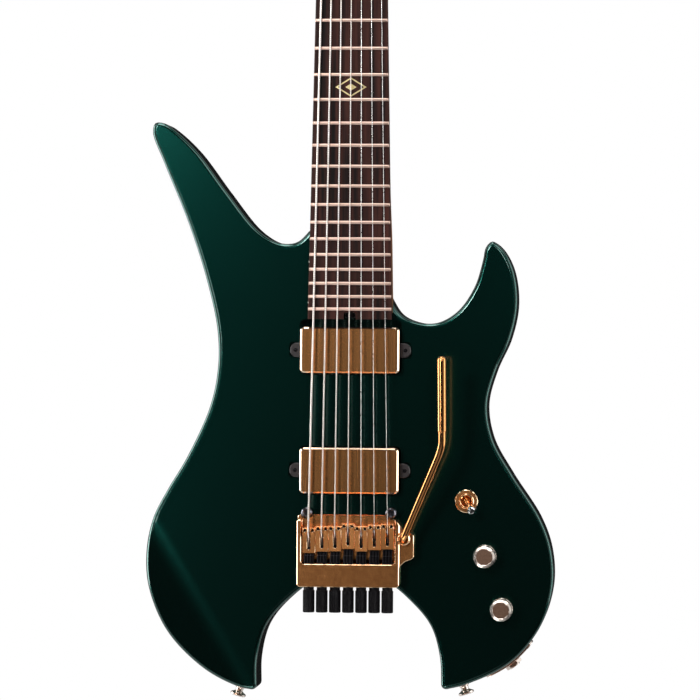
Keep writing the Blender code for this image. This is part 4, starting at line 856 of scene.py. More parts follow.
STRINGS = 7
STRING_PITCH = 0.01056
NUT_STRING_PITCH = 0.00657
STRING_DIAMETERS = (0.00157, 0.00132, 0.00107, 0.00082, 0.0006, 0.0005, 0.00044)
NUT_LIFT = 0.0005
BRIDGE_LIFT = 0.0026
NUT_THICKNESS = 0.005
NUT_RISE = 0.0022

graphite = mottled("graphite_nylon_polished", "#1d1d1f", 0.38, 0.0006, 4.0, ("#141416", "#2c2c30"))


def bridge_x(i):
    """A string's place across the bridge."""
    return (i - (STRINGS - 1) / 2) * STRING_PITCH


def string_x(i, z):
    nut_x = (i - (STRINGS - 1) / 2) * NUT_STRING_PITCH
    return bridge_x(i) + (nut_x - bridge_x(i)) * z / SCALE_LENGTH


def string_underside(i, z):
    """The height of a string's underside, on its line from the nut to the saddle."""
    lift = BRIDGE_LIFT + (NUT_LIFT - BRIDGE_LIFT) * z / SCALE_LENGTH
    return BOARD_TOP + FRET_HEIGHT + lift - crown_drop(string_x(i, z))


nut_low, nut_high = SCALE_LENGTH + FIT, SCALE_LENGTH + FIT + NUT_THICKNESS
half, bottom = NUT_WIDTH / 2, BOARD_TOP - BOARD_THICKNESS
ring = [(-half, bottom), (half, bottom)]
ring += [(x, BOARD_TOP + FRET_HEIGHT + NUT_RISE - crown_drop(x)) for x in spaced(half, -half, 12)]
slots = []
for i in range(STRINGS):
    x, reach = string_x(i, SCALE_LENGTH), STRING_DIAMETERS[i] / 2 + FIT
    slots.append(box(
        (x - reach, x + reach), (string_underside(i, SCALE_LENGTH) - FIT, BOARD_TOP + OVERCUT),
        (nut_low - 0.002, nut_high + 0.002),
    ))
nut = wrapped([[(x, -h, z) for x, h in ring] for z in (nut_low, nut_high)])
dress("nut_graphite", carved(nut, slots), graphite, "graphite", "nut", rim=0.0003)

# The headpiece is a machined block, gold plated over a polish, that stands behind the nut in place
# of a headstock. Each string enters a bore in its front and is held by a hex-socket clamp screw.

HEAD_GAP = 0.0018
HEAD_LENGTH = 0.028
HEAD_WIDTH = 0.050
HEAD_HEIGHT = 0.0094
HEAD_BORE_RADIUS = 0.0012
HEAD_BORE_DEPTH = 0.020
CLAMP_SETBACK = 0.012
CLAMP_RADIUS = 0.0016
CLAMP_HOLE_DEPTH = 0.0025

# Gold plate over polished brass: smooth, with faint wiping marks that spread its highlights.
gold, shader, place = new_finish("gold_plate_polished", "#f8a662", 0.24, Metallic=1.0)
wiping = noise(gold, place, 0.004, 5.0)
dull = ranged(gold, wiping, 0.20, 0.30)
tone = mixed(gold, wiping, "#f69f5a", "#faae6c")


def polish_chamfers_and_paint_highlight(finish, shader, dull, tone, colour, polish=0.14, from_slant=0.25):
    """Chamfers, which slant to the front face, take a smoother polish than flats and side walls, and a paler
    colour that is a painted highlight.
    """
    normal = add_node(finish, "ShaderNodeTexCoord").outputs["Normal"]
    front = add_node(finish, "ShaderNodeSeparateXYZ", {"Vector": normal}).outputs["Y"]
    front = worked(finish, "ABSOLUTE", front)
    slant = worked(finish, "MULTIPLY", front, worked(finish, "SUBTRACT", 1.0, front))
    share = ranged(finish, slant, 0.0, 1.0, from_slant / 4, from_slant / 4 + 0.06)
    # The paler colour mixed in here is a painted highlight on the chamfers; the roughness below is their real
    # polish.
    bright = mixed(finish, share, tone, colour)
    feed(finish, shader, Base_Color=bright, Roughness=shared(finish, share, dull, polish))


# The cream colour given to the chamfers is a painted highlight, over their real smoother polish.
polish_chamfers_and_paint_highlight(gold, shader, dull, tone, "#ffdcb4")


def hex_screw(radius, depth, rise=0.0):
    """A grub screw whose end, with its hexagon socket, stands this far above its hole."""
    flat = radius * 0.25
    bm = turned(((0, -depth), (radius, -depth), (radius, rise - flat), (radius - flat, rise), (0, rise)), 24)
    return carved(bm, [rod(radius * 0.55, (0, 0, rise + 0.001), (0, 0, -1), 0.001 + min(depth, radius), 6)])


def copies(make, matrices):
    """One mesh that holds a copy of a shape at each of the matrices."""
    out = bmesh.new()
    shape = as_mesh("copy", make())
    for matrix in matrices:
        first = len(out.verts)
        out.from_mesh(shape)
        out.verts.ensure_lookup_table()
        bmesh.ops.transform(out, matrix=matrix, verts=out.verts[first:])
    bpy.data.meshes.remove(shape)
    return out


head_front = nut_high + HEAD_GAP
head_low, head_top = bottom, bottom + HEAD_HEIGHT
anchor_height = head_low + HEAD_HEIGHT * 0.55
head = rounded_box(
    (-HEAD_WIDTH / 2, HEAD_WIDTH / 2), (head_low, head_top), (head_front, head_front + HEAD_LENGTH), 0.004
)
cuts = []
for i in range(STRINGS):
    x = string_x(i, head_front)
    mouth = (x, -anchor_height, head_front - 0.002)
    cuts.append(rod(HEAD_BORE_RADIUS, mouth, UP, HEAD_BORE_DEPTH + 0.002, 20))
    above = (x, -head_top - 0.001, head_front + CLAMP_SETBACK)
    cuts.append(rod(CLAMP_RADIUS + 0.0002, above, BACK, 0.001 + CLAMP_HOLE_DEPTH, 24))
dress("headpiece_machined", carved(head, cuts), gold, "gold_plate", "headpiece", rim=0.0005)
places = [
    facing(FRONT, (string_x(i, head_front), -head_top + 0.0004, head_front + CLAMP_SETBACK))
    for i in range(STRINGS)
]
clamps = copies(lambda: hex_screw(CLAMP_RADIUS, CLAMP_RADIUS), places)
dress("headpiece_clamp_screws", clamps, black_steel, "black_plate", body="guitar")

# The strings are steel: the four thick ones have a wrap of nickel-plated wire round a core, and the
# three thin ones are plain and tinned. They run from the headpiece over nut and saddles to the sleds.

PIVOT_HEIGHT = 0.0055
PLATE_THICKNESS = 0.0030
SADDLE_FRONTS = (-0.0078, -0.0065, -0.0062, -0.0042, -0.0061, -0.0049, -0.0042)
SADDLE_LENGTH = 0.0203
SADDLE_RIDGE = 0.0026
RIDGE_HALF = 0.0008
SLED_NOSE_HEIGHT = 0.0026
STRING_BENDS_FROM, STRING_BENDS_TO = 0.0140, -0.0068
WINDING_PITCH = 0.0009
plate_bottom = PIVOT_HEIGHT - PLATE_THICKNESS / 2
tray_floor = plate_bottom + PLATE_THICKNESS

wound, shader, place = new_finish("nickel_wound_string", "#f2e9e2", 0.32, Metallic=1.0)
turns = add_node(
    wound, "ShaderNodeTexWave", {"Vector": place, "Scale": 1 / WINDING_PITCH / math.tau},
    bands_direction="Z", wave_profile="SIN",
).outputs["Fac"]
ribs = bumped(wound, turns, 0.5, 0.0001)
# Painted shade: the colour is darker in the grooves between the turns and paler on their crests.
tone = mixed(wound, turns, "#e2d6cd", "#fbf4ee")
feed(wound, shader, Normal=ribs, Base_Color=tone)

plain_wire = mottled(
    "tinned_steel_string", "#f4f1ee", 0.26, 0.002, 2.0, dulls=(0.24, 0.32), Metallic=1.0
)


def rod_rings(route, radii, sides):
    """Rings round a route of points, square to it and without twist."""
    rings, side = [], Vector((1, 0, 0))
    for k, (point, radius) in enumerate(zip(route, radii)):
        way = (route[min(k + 1, len(route) - 1)] - route[max(k - 1, 0)]).normalized()
        side = (side - way * side.dot(way)).normalized()
        up = way.cross(side)
        rings.append([
            point + radius * (side * math.cos(t) + up * math.sin(t))
            for t in (2 * math.pi * s / sides for s in range(sides))
        ])
    return rings


def softened(route, reach):
    """The route with each of its corners turned into a short bend."""
    out = [route[0]]
    for before, here, after in zip(route, route[1:], route[2:]):
        start = here + (before - here).normalized() * reach
        end = here + (after - here).normalized() * reach
        out += [start.lerp(here, t).lerp(here.lerp(end, t), t) for t in (0.0, 0.25, 0.5, 0.75, 1.0)]
    return out + [route[-1]]


def saddle_break_z(i):
    """Where a string leaves its saddle's ridge and dips into the slot."""
    return SADDLE_FRONTS[i] - SADDLE_RIDGE - RIDGE_HALF


for i in range(STRINGS):
    radius = STRING_DIAMETERS[i] / 2
    ridge = saddle_break_z(i)
    nut_height = string_underside(i, SCALE_LENGTH) + radius
    bends = spaced(STRING_BENDS_FROM + 0.004, ridge + 0.001, 10)
    route = [
        Vector((string_x(i, head_front), -anchor_height, head_front + HEAD_BORE_DEPTH - FIT)),
        Vector((string_x(i, head_front), -anchor_height, head_front - FIT)),
        Vector((string_x(i, nut_high), -nut_height, nut_high)),
        Vector((string_x(i, nut_low), -nut_height, nut_low)),
        Vector((string_x(i, ridge), -(string_underside(i, ridge) + radius), ridge)),
        Vector((
            bridge_x(i), -(tray_floor + FIT * 2 + SLED_NOSE_HEIGHT + radius),
            SADDLE_FRONTS[i] - SADDLE_LENGTH * 0.74,
        )),
    ]
    line = softened(route, 0.0005)
    crossing = len(line) - 6
    length = route[4] - route[3]
    line[crossing:crossing] = [route[3] + length * ((z - route[3].z) / length.z) for z in bends]
    string = as_object(f"string_{i + 1}_wire", wrapped(rod_rings(line, [radius] * len(line), 12)))
    string.data.transform(Matrix.Translation(TO_FRAME))
    string.data.materials.append(wound if i < 4 else plain_wire)
    string.data.shade_smooth()
    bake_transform(string)
    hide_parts(f"string_{i + 1}")

# The pickups are humbuckers under drawn brass covers, brushed and gold plated. Each stands on a
# black moulded base with two ears, held to the body by black screws.

# Brushed gold plate: a fine grain along the strings in its roughness, and soft stripes of paler and deeper
# gold along them in its colour, which are painted reflections.
satin_gold, shader, place = new_finish("gold_plate_brushed", "#cf9058", 0.27, Metallic=1.0)
brushing = add_node(satin_gold, "ShaderNodeMapping", {"Vector": place, "Scale": (1.0, 1.0, 0.02)})
marks = noise(satin_gold, brushing.outputs[0], 0.0012, 5.0)
painted_reflection_stripes = noise(satin_gold, brushing.outputs[0], 0.012, 1.0)
tone = mixed(satin_gold, painted_reflection_stripes, "#b97d48", "#d2925a")
dull = ranged(satin_gold, marks, 0.22, 0.30)
# The pale cream colour given to the chamfers is a painted highlight, over their real smoother polish.
polish_chamfers_and_paint_highlight(satin_gold, shader, dull, tone, "#ffe4c8")

# Black ABS, moulded with a fine spark-eroded grain, which leaves it a soft dark grey.
black_abs = mottled(
    "black_abs_moulded", "#1c1516", 0.42, 0.0007, 3.0, ("#150f10", "#241a1b"), relief=(0.15, 0.0001)
)


def cross_screw(radius, rise, length=0.0):
    """A screw with an oval head and a cross recess. Its head stands on Z zero."""
    profile = [(0, rise), (radius * 0.45, rise * 0.93), (radius * 0.8, rise * 0.6), (radius, 0.0)]
    core = radius * 0.5
    profile += [(core, -core), (core, -core - length), (0, -core - length)]
    long, short = radius, radius * 0.22
    cuts = [cube((0, 0, rise), (*size, radius * 0.9)) for size in ((long, short), (short, long))]
    return carved(turned(profile, 28), cuts)


def pickup(name, z):
    """A pickup's cover, its base with the winding's block and two ears, and its two screws."""
    half, reach = PICKUP_WIDTH / 2, PICKUP_LENGTH / 2
    shell = rounded_box((-half, half), (-COVER_SKIRT, PICKUP_TOP), (z - reach, z + reach), PICKUP_CORNER, 8)
    round_edges(shell, 0.0011, 1, at_height(PICKUP_TOP))
    inside = rounded_box(
        (-half + COVER_WALL, half - COVER_WALL), (-COVER_SKIRT - OVERCUT, PICKUP_TOP - COVER_WALL),
        (z - reach + COVER_WALL, z + reach - COVER_WALL), PICKUP_CORNER - COVER_WALL,
    )
    dress(f"{name}_cover_brushed", carved(shell, [inside]), satin_gold, "gold_plate", f"{name}_cover")
    base_top = -COVER_SKIRT - FIT
    plate = rounded_box((-half, half), (-ear_seat(), base_top), (z - reach, z + reach), PICKUP_CORNER)
    ears = rounded_box(
        (-EAR_SPAN / 2, EAR_SPAN / 2), (-ear_seat(), EAR_TOP), (z - EAR_LENGTH / 2, z + EAR_LENGTH / 2),
        0.0050, 10,
    )
    round_edges(ears, 0.0006, 1, at_height(EAR_TOP))
    inner = half + FIT * 2
    room = box((-inner, inner), (base_top, EAR_TOP + OVERCUT), (z - reach, z + reach))
    winding = COVER_WALL + FIT * 2
    core = rounded_box(
        (-half + winding, half - winding), (-ear_seat() + 0.0005, PICKUP_TOP - winding),
        (z - reach + winding, z + reach - winding), PICKUP_CORNER - winding + 0.0008,
    )
    holes = [
        rod(EAR_HOLE_RADIUS, (side * EAR_HOLE_SPACING / 2, -EAR_TOP - 0.002, z), BACK, OVERCUT, 28)
        for side in (-1, 1)
    ]
    base = carved(carved(plate, [room], [ears]), holes, [core])
    dress(f"{name}_base_moulded", base, black_abs, "black_plastic", f"{name}_base")
    places = [
        facing(FRONT, (side * EAR_HOLE_SPACING / 2, -EAR_TOP + 0.0011, z)) for side in (-1, 1)
    ]
    screws = copies(lambda: cross_screw(EAR_HOLE_RADIUS - 0.0001, 0.0005, 0.006), places)
    dress(f"{name}_screws", screws, black_steel, "black_plate", body="guitar")


pickup("neck_pickup", NECK_PICKUP_Z)
pickup("bridge_pickup", BRIDGE_PICKUP_Z)

# The tremolo rocks on two hardened steel studs, turned with a groove at the plate's height and bored
# with a hexagon socket to set it. They are plated in black nickel and screw into the body.

# Black nickel plate: a grey mirror, dark on its flats and bright along its chamfers.
black_nickel = mottled(
    "black_nickel_plate_turned", "#6c6b72", 0.22, 0.0012, 4.0, ("#5e5d64", "#7a7980"), Metallic=1.0
)

for name, side in (("bass", -1), ("treble", 1)):
    stud = turned((
        (0, -STUD_DEPTH), (STUD_RADIUS, -STUD_DEPTH), (STUD_RADIUS, PIVOT_HEIGHT - 0.0008),
        (STUD_RADIUS - 0.0008, PIVOT_HEIGHT), (STUD_RADIUS, PIVOT_HEIGHT + 0.0008),
        (STUD_RADIUS, STUD_TOP - 0.0009), (STUD_RADIUS - 0.0009, STUD_TOP),
        (STUD_RADIUS - 0.0014, STUD_TOP), (STUD_RADIUS - 0.0022, STUD_TOP - 0.0008), (0, STUD_TOP - 0.0008),
    ))
    socket = rod(STUD_SOCKET_RADIUS, (0, 0, STUD_TOP + 0.001), (0, 0, -1), 0.001 + STUD_SOCKET_DEPTH, 6)
    stud = placed(carved(stud, [socket]), facing(FRONT, (side * STUD_SPACING / 2, 0, PIVOT_Z)))
    dress(f"pivot_stud_{name}_turned", stud, black_nickel, "black_plate", f"pivot_stud_{name}", crease=25)

# The base plate is milled from one piece of brass and gold plated: side walls, a rear bar with a
# channel for each sled, half-round seats at the studs, and an ear with the collar for the arm.

PLATE_FRONT = 0.0028
PLATE_STEP = 0.0016
WALL_TOP = 0.0150
SIDE_WALL = 0.0032
TRAY_MARGIN = 0.0009
STUD_CLEARANCE = 0.00055
CHANNEL_WIDTH = 0.0086
CHANNEL_HEIGHT = 0.0060
BAR_FRONT = -0.0368
BAR_LENGTH = 0.0183
BAR_BACK_WALL = 0.0041
EAR_PLATE_TOP = 0.0125
ARM_COLLAR_RADIUS = 0.0047
ARM_COLLAR_TOP = 0.0165
ARM_OFFSET = 0.0037
ARM_Z = -0.0160
ARM_RADIUS = 0.0030
ARM_BORE_FLOOR = 0.0010
ROD_RADIUS = 0.0019

tray_half = STRINGS * STRING_PITCH / 2 + TRAY_MARGIN
plate_half = tray_half + SIDE_WALL
bar_back = BAR_FRONT - BAR_LENGTH
rod_height = tray_floor + CHANNEL_HEIGHT / 2
arm_x = plate_half + ARM_OFFSET
stud_x = STUD_SPACING / 2
plate_outline = (
    (-plate_half, PLATE_FRONT - 0.0012), (-plate_half + 0.0012, PLATE_FRONT), (stud_x - 0.0049, PLATE_FRONT),
    (stud_x + 0.0028, -0.0006), (plate_half - 0.0016, -0.0023), (arm_x - 0.0017, ARM_Z + 0.0088),
    (arm_x + 0.0007, ARM_Z + 0.0062), (arm_x + 0.0054, ARM_Z + 0.0052), (arm_x + 0.0080, ARM_Z + 0.0029),
    (arm_x + 0.0080, ARM_Z - 0.0144), (arm_x + 0.0066, ARM_Z - 0.0161), (arm_x + 0.0012, ARM_Z - 0.0180),
    (plate_half + 0.0012, BAR_FRONT - 0.0005), (plate_half, BAR_FRONT - 0.0030),
    (plate_half, bar_back + 0.0016), (plate_half - 0.0016, bar_back),
    (-plate_half + 0.0016, bar_back), (-plate_half, bar_back + 0.0016),
)
width = plate_half + OVERCUT
plate = round_edges(slab(plate_outline, plate_bottom, WALL_TOP), 0.0007, 3, along_depth)
cuts = [
    rounded_box(
        (-tray_half, tray_half), (tray_floor, WALL_TOP + OVERCUT), (BAR_FRONT, PLATE_FRONT + OVERCUT), 0.003
    ),
    box((-width, width), (tray_floor, WALL_TOP + OVERCUT), (-PLATE_STEP, PLATE_FRONT + OVERCUT)),
    box(
        (plate_half, arm_x + OVERCUT * 2), (EAR_PLATE_TOP, WALL_TOP + OVERCUT),
        (BAR_FRONT - 0.004, PLATE_FRONT + OVERCUT),
    ),
]
for side in (-1, 1):
    above = (side * stud_x, -WALL_TOP - 0.005, PIVOT_Z)
    cuts.append(rod(STUD_RADIUS + STUD_CLEARANCE, above, BACK, 0.03, 40))
for i in range(STRINGS):
    x, half = bridge_x(i), CHANNEL_WIDTH / 2
    cuts.append(box(
        (x - half, x + half), (tray_floor, tray_floor + CHANNEL_HEIGHT),
        (bar_back + BAR_BACK_WALL, BAR_FRONT + 0.0034)
    ))
    cuts.append(rod(ROD_RADIUS + FIT, (x, -rod_height, bar_back - 0.001), UP, BAR_BACK_WALL + 0.002, 20))
foot = (arm_x, -EAR_PLATE_TOP + 0.001, ARM_Z)
collar = rod(ARM_COLLAR_RADIUS, foot, FRONT, ARM_COLLAR_TOP - EAR_PLATE_TOP + 0.001, 40)
bore = rod(ARM_RADIUS + FIT, (arm_x, -plate_bottom - ARM_BORE_FLOOR, ARM_Z), FRONT, 0.02, 32)
plate = carved(carved(plate, cuts), [bore], [collar])
dress("bridge_plate_milled", plate, gold, "gold_plate", "bridge_plate", rim=0.0004)

# Under the plate hangs a heavy block of zinc-plated steel, which the springs pull on. Its plating is
# mottled, so its sheen comes and goes in soft patches.

BLOCK_HALF_WIDTH = 0.033
BLOCK_FRONT = -0.010
BLOCK_LENGTH = 0.014
BLOCK_DEPTH = 0.038

steel = mottled(
    "zinc_plated_steel", "#b9b8b2", 0.35, 0.003, 5.0, ("#a3a29c", "#cfcec8"), (0.25, 0.50), Metallic=1.0
)

block = rounded_box(
    (-BLOCK_HALF_WIDTH, BLOCK_HALF_WIDTH), (-BLOCK_DEPTH, plate_bottom - FIT),
    (BLOCK_FRONT - BLOCK_LENGTH, BLOCK_FRONT), 0.002,
)
dress("tremolo_block_plated", block, steel, "bright_steel", "tremolo_block", rim=0.0004)

# Each saddle is a milled and gold-plated bar with a ridge under its string, a long slot for the
# string behind it, and two blackened grub screws near its front corners that set its height.

SADDLE_GAP = 0.0003
SADDLE_REAR_HEIGHT = 0.0050
SADDLE_SLOT = 0.0027
SLED_NOSE_WIDTH = 0.0050
SLED_NOSE_Z = -0.0160
SLED_BLOCK_Z = -0.0300
SLED_BLOCK_END = -0.0440
SCREW_INSET = 0.0031
SCREW_SETBACK = 0.0019
SCREW_HOLE_RADIUS = 0.0013
SCREW_HOLE_DEPTH = 0.0035

saddle_bottom = tray_floor + FIT
sled_forward = min(SADDLE_FRONTS) - SADDLE_LENGTH - SLED_BLOCK_Z - 0.0004


def saddle(i):
    """One saddle with its slot, its tunnel for the sled and its screw holes."""
    front, x = SADDLE_FRONTS[i], bridge_x(i)
    rear, ridge = front - SADDLE_LENGTH, front - SADDLE_RIDGE
    half = (STRING_PITCH - SADDLE_GAP) / 2
    top = string_underside(i, ridge) - FIT
    side = (
        (saddle_bottom, front), (top - 0.0006, front), (top - 0.0003, ridge + RIDGE_HALF * 1.6),
        (top, ridge + RIDGE_HALF * 0.6), (top, ridge - RIDGE_HALF), (top - 0.0010, ridge - 0.0045),
        (saddle_bottom + SADDLE_REAR_HEIGHT, rear), (saddle_bottom, rear),
    )
    bm = wrapped([[(px, -h, z) for h, z in side] for px in (x - half, x + half)])
    slot = rounded_box(
        (x - SADDLE_SLOT / 2, x + SADDLE_SLOT / 2), (saddle_bottom - 0.001, top + OVERCUT),
        (rear + 0.0026, saddle_break_z(i) - 0.0001), SADDLE_SLOT / 2 - 0.0001, 6,
    )
    tunnel_half = SLED_NOSE_WIDTH / 2 + 0.0004
    tunnel = box(
        (x - tunnel_half, x + tunnel_half),
        (saddle_bottom - 0.001, saddle_bottom + 2 * FIT + SLED_NOSE_HEIGHT),
        (rear - 0.001, SLED_NOSE_Z + sled_forward + 0.0006),
    )
    mouth_half = CHANNEL_WIDTH / 2
    mouth = box(
        (x - mouth_half, x + mouth_half), (saddle_bottom - 0.001, saddle_bottom + SLED_NOSE_HEIGHT + 2 * FIT),
        (rear - 0.001, rear + 0.0018),
    )
    holes = [
        rod(
            SCREW_HOLE_RADIUS, (x + s * SCREW_INSET, -top - 0.002, front - SCREW_SETBACK), BACK,
            0.002 + SCREW_HOLE_DEPTH, 24,
        )
        for s in (-1, 1)
    ]
    return carved(bm, [slot, tunnel, mouth, *holes]), top


for i in range(STRINGS):
    bm, top = saddle(i)
    dress(f"saddle_{i + 1}_milled", bm, gold, "gold_plate", f"saddle_{i + 1}", rim=0.00015)
    places = [
        facing(FRONT, (bridge_x(i) + s * SCREW_INSET, -top + 0.0022, SADDLE_FRONTS[i] - SCREW_SETBACK))
        for s in (-1, 1)
    ]
    screws = copies(lambda: hex_screw(SCREW_HOLE_RADIUS - 0.0001, 0.0008), places)
    dress(f"saddle_{i + 1}_height_screws", screws, black_steel, "black_plate", body="bridge")

# A sled carries the end of each string. It is a blackened steel carriage, milled with grooves, that
# runs in its channel on a threaded rod. The knob behind the bar is knurled, black anodised aluminium.

ROD_END = -0.0690
SLED_DRAW = 0.0049
TUNER_RADIUS = 0.00475
TUNER_NECK = 0.0023
TUNER_STEPS = 60
TUNER_RIB = 0.00022
KNURL_SIZE = 0.0009
THREAD_PITCH = 0.0007

anodised, shader, place = new_finish("black_anodised_knurled", "#09080a", 0.32, Specular_IOR_Level=0.15)
knurl = add_node(anodised, "ShaderNodeTexVoronoi", {"Vector": place, "Scale": 1 / KNURL_SIZE})
grip = bumped(anodised, knurl.outputs["Distance"], 0.7, 0.0003)
# Painted shade: the colour is darker in the knurl's hollows than on its ridges.
tone = mixed(anodised, knurl.outputs["Distance"], "#040304", "#0d0b0e")
feed(anodised, shader, Normal=grip, Base_Color=tone)


def sled(i):
    """A carriage with a long nose under its saddle, three grooves on top, and a threaded rod."""
    x, nose_half = bridge_x(i), SLED_NOSE_WIDTH / 2
    low, high = rod_height - CHANNEL_HEIGHT / 2 + FIT, rod_height + CHANNEL_HEIGHT / 2 - FIT
    half = CHANNEL_WIDTH / 2 - FIT
    nose_top = saddle_bottom + SLED_NOSE_HEIGHT
    nose = box((x - nose_half, x + nose_half), (saddle_bottom, nose_top), (SLED_BLOCK_Z - 0.001, SLED_NOSE_Z))
    apron = SADDLE_FRONTS[i] - SADDLE_LENGTH - FIT
    carriage = carved(box((x - half, x + half), (low, high), (SLED_BLOCK_END, SLED_BLOCK_Z)), joins=[
        box((x - half, x + half), (saddle_bottom, nose_top - 0.0002), (SLED_BLOCK_Z - 0.001, apron))
    ])
    round_edges(carriage, 0.0006, 2, along_z)
    grooves = [
        rod(0.0008, (x + s, -top_at, start), UP, length, 4)
        for s in (-0.0024, 0.0, 0.0024)
        for top_at, start, length in (
            (high, SLED_BLOCK_END + 0.001, SLED_BLOCK_Z - SLED_BLOCK_END),
            (nose_top - 0.0002, SLED_BLOCK_Z, apron - SLED_BLOCK_Z + 0.001),
        )
    ]
    profile = [(0, 0), (ROD_RADIUS, 0)]
    along = 0.001
    while along < SLED_BLOCK_END - ROD_END - THREAD_PITCH:
        profile += [(ROD_RADIUS, along), (ROD_RADIUS - 0.00025, along + THREAD_PITCH / 2)]
        along += THREAD_PITCH
    end = SLED_BLOCK_END - ROD_END
    profile += [(ROD_RADIUS, along), (ROD_RADIUS - 0.0004, end), (0, end)]
    thread = placed(turned(profile, 20), facing((0, 0, -1), (x, -rod_height, SLED_BLOCK_END)))
    body = carved(carriage, grooves, [nose])
    shape = as_mesh("thread", thread)
    body.from_mesh(shape)
    bpy.data.meshes.remove(shape)
    return body


def tuner(i):
    """A knurled knob with a plain neck, bored for the sled's rod."""
    top = bar_back - FIT
    bore_end = ROD_END - SLED_DRAW - FIT
    end = bore_end - 0.0015
    profile = (
        (ROD_RADIUS + FIT, bore_end), (ROD_RADIUS + FIT, top), (TUNER_RADIUS - 0.0006, top),
        (TUNER_RADIUS - 0.0006, top - TUNER_NECK), (TUNER_RADIUS, top - TUNER_NECK - 0.0004),
        (TUNER_RADIUS, end + 0.0006), (TUNER_RADIUS - 0.0006, end), (0, end), (0, bore_end),
    )
    bm = turned(profile, TUNER_STEPS, closed=True)
    for v in bm.verts:
        radius = math.hypot(v.co.x, v.co.y)
        if radius > TUNER_RADIUS - 1e-6 and round(math.atan2(v.co.y, v.co.x) / (math.tau / TUNER_STEPS)) % 2:
            v.co.xy *= 1 - TUNER_RIB / TUNER_RADIUS
    return placed(bm, Matrix.Translation((bridge_x(i), -rod_height, 0)))


for i in range(STRINGS):
    dress(f"tuner_sled_{i + 1}_ribbed", sled(i), black_steel, "black_plate", f"tuner_sled_{i + 1}", crease=28)
    dress(f"tuner_knob_{i + 1}_knurled", tuner(i), anodised, "black_plate", f"tuner_knob_{i + 1}", crease=28)

# The tremolo arm is a bent steel rod, gold plated, that drops into the ear's collar and swings
# there. A slightly thicker sleeve is pushed on its tip.

ARM_ROUTE = (
    (0.0000, 0.0000, 0.0150), (0.0000, 0.0000, 0.0174), (0.0009, 0.0022, 0.0202), (0.0030, 0.0068, 0.0222),
    (0.0080, 0.0185, 0.0258), (0.0255, 0.0590, 0.0385), (0.0298, 0.0695, 0.0417),
    (0.0318, 0.0780, 0.0434), (0.0319, 0.0860, 0.0443),
)
ARM_SLEEVE = ((0.0319, 0.0870, 0.0443), (0.0314, 0.1468, 0.0480))
ARM_TIP_RADIUS = 0.0035

# Gold plate over a mirror polish: thin bright lines along the rod, and a deeper gold between them.
mirror_gold = mottled(
    "gold_plate_mirror", "#e09a5e", 0.13, 0.004, 2.0, ("#db9254", "#e6a268"), (0.11, 0.17), Metallic=1.0
)

socket = Vector((arm_x, 0, ARM_Z))
foot = socket + Vector((0, -(plate_bottom + ARM_BORE_FLOOR + FIT), 0))
knots = [foot] + [socket + Vector((x, -h, z)) for x, z, h in ARM_ROUTE]
line = []
for k in range(len(knots) - 1):
    before, after = knots[max(k - 1, 0)], knots[min(k + 2, len(knots) - 1)]
    line += [curve_point(before, knots[k], knots[k + 1], after, t / 5) for t in range(5)]
line.append(knots[-1])
tip_start, tip_end = (socket + Vector((x, -h, z)) for x, z, h in ARM_SLEEVE)
line.append(tip_start + (tip_end - tip_start) * 0.1)
arm = wrapped(rod_rings(line, [ARM_RADIUS] * len(line), 28))
dress("tremolo_arm_bent", arm, mirror_gold, "gold_plate", "tremolo_arm", crease=40)
way = (tip_end - tip_start).normalized()
length = (tip_end - tip_start).length
sleeve = turned((
    (ARM_RADIUS + 0.00005, 0), (ARM_TIP_RADIUS - 0.0004, 0), (ARM_TIP_RADIUS, 0.0004),
    (ARM_TIP_RADIUS, length - 0.0036), (ARM_TIP_RADIUS * 0.95, length - 0.0020),
    (ARM_TIP_RADIUS * 0.75, length - 0.0008), (ARM_TIP_RADIUS * 0.4, length - 0.0001), (0, length),
    (0, length * 0.12), (ARM_RADIUS + 0.00005, length * 0.12),
), 40, closed=True)
dress("tremolo_arm_sleeve", placed(sleeve, facing(way, tip_start)), mirror_gold, "gold_plate", body="arm")

# In the cavity behind, three steel springs run from the block to a claw, which two long screws hold
# to the wood. Turning these screws sets the tremolo's rest against the strings' pull.

SPRING_RADIUS = 0.0040
SPRING_WIRE = 0.0006
SPRING_PITCH = 0.0165
SPRING_TURNS = 44
SPRINGS = 3
HOOK_LENGTH = 0.004
CLAW_Z = 0.074
CLAW_THICKNESS = 0.004
CLAW_HALF_WIDTH = 0.024
CLAW_HEIGHT = 0.011
CLAW_SCREW_RADIUS = 0.0020
CLAW_SCREW_REACH = 0.012

spring_depth = BODY_THICKNESS - SPRING_CAVITY_DEPTH + 0.008
spring_low, spring_high = BLOCK_FRONT + FIT, CLAW_Z - FIT
for k in range(SPRINGS):
    x = (k - (SPRINGS - 1) / 2) * SPRING_PITCH
    low, high = spring_low + HOOK_LENGTH, spring_high - HOOK_LENGTH
    coil = SPRING_RADIUS - SPRING_WIRE
    line = [Vector((x, spring_depth, spring_low)), Vector((x, spring_depth, low - 0.0008))]
    for step in range(SPRING_TURNS * 10 + 1):
        turn = step * math.tau / 10
        line.append(Vector((
            x + coil * math.cos(turn), spring_depth + coil * math.sin(turn),
            low + (high - low) * step / (SPRING_TURNS * 10),
        )))
    line += [Vector((x, spring_depth, high + 0.0008)), Vector((x, spring_depth, spring_high))]
    spring = wrapped(rod_rings(line, [SPRING_WIRE] * len(line), 6))
    node = f"tremolo_spring_{k + 1}"
    dress(f"{node}_coiled", spring, steel, "bright_steel", node, crease=60)

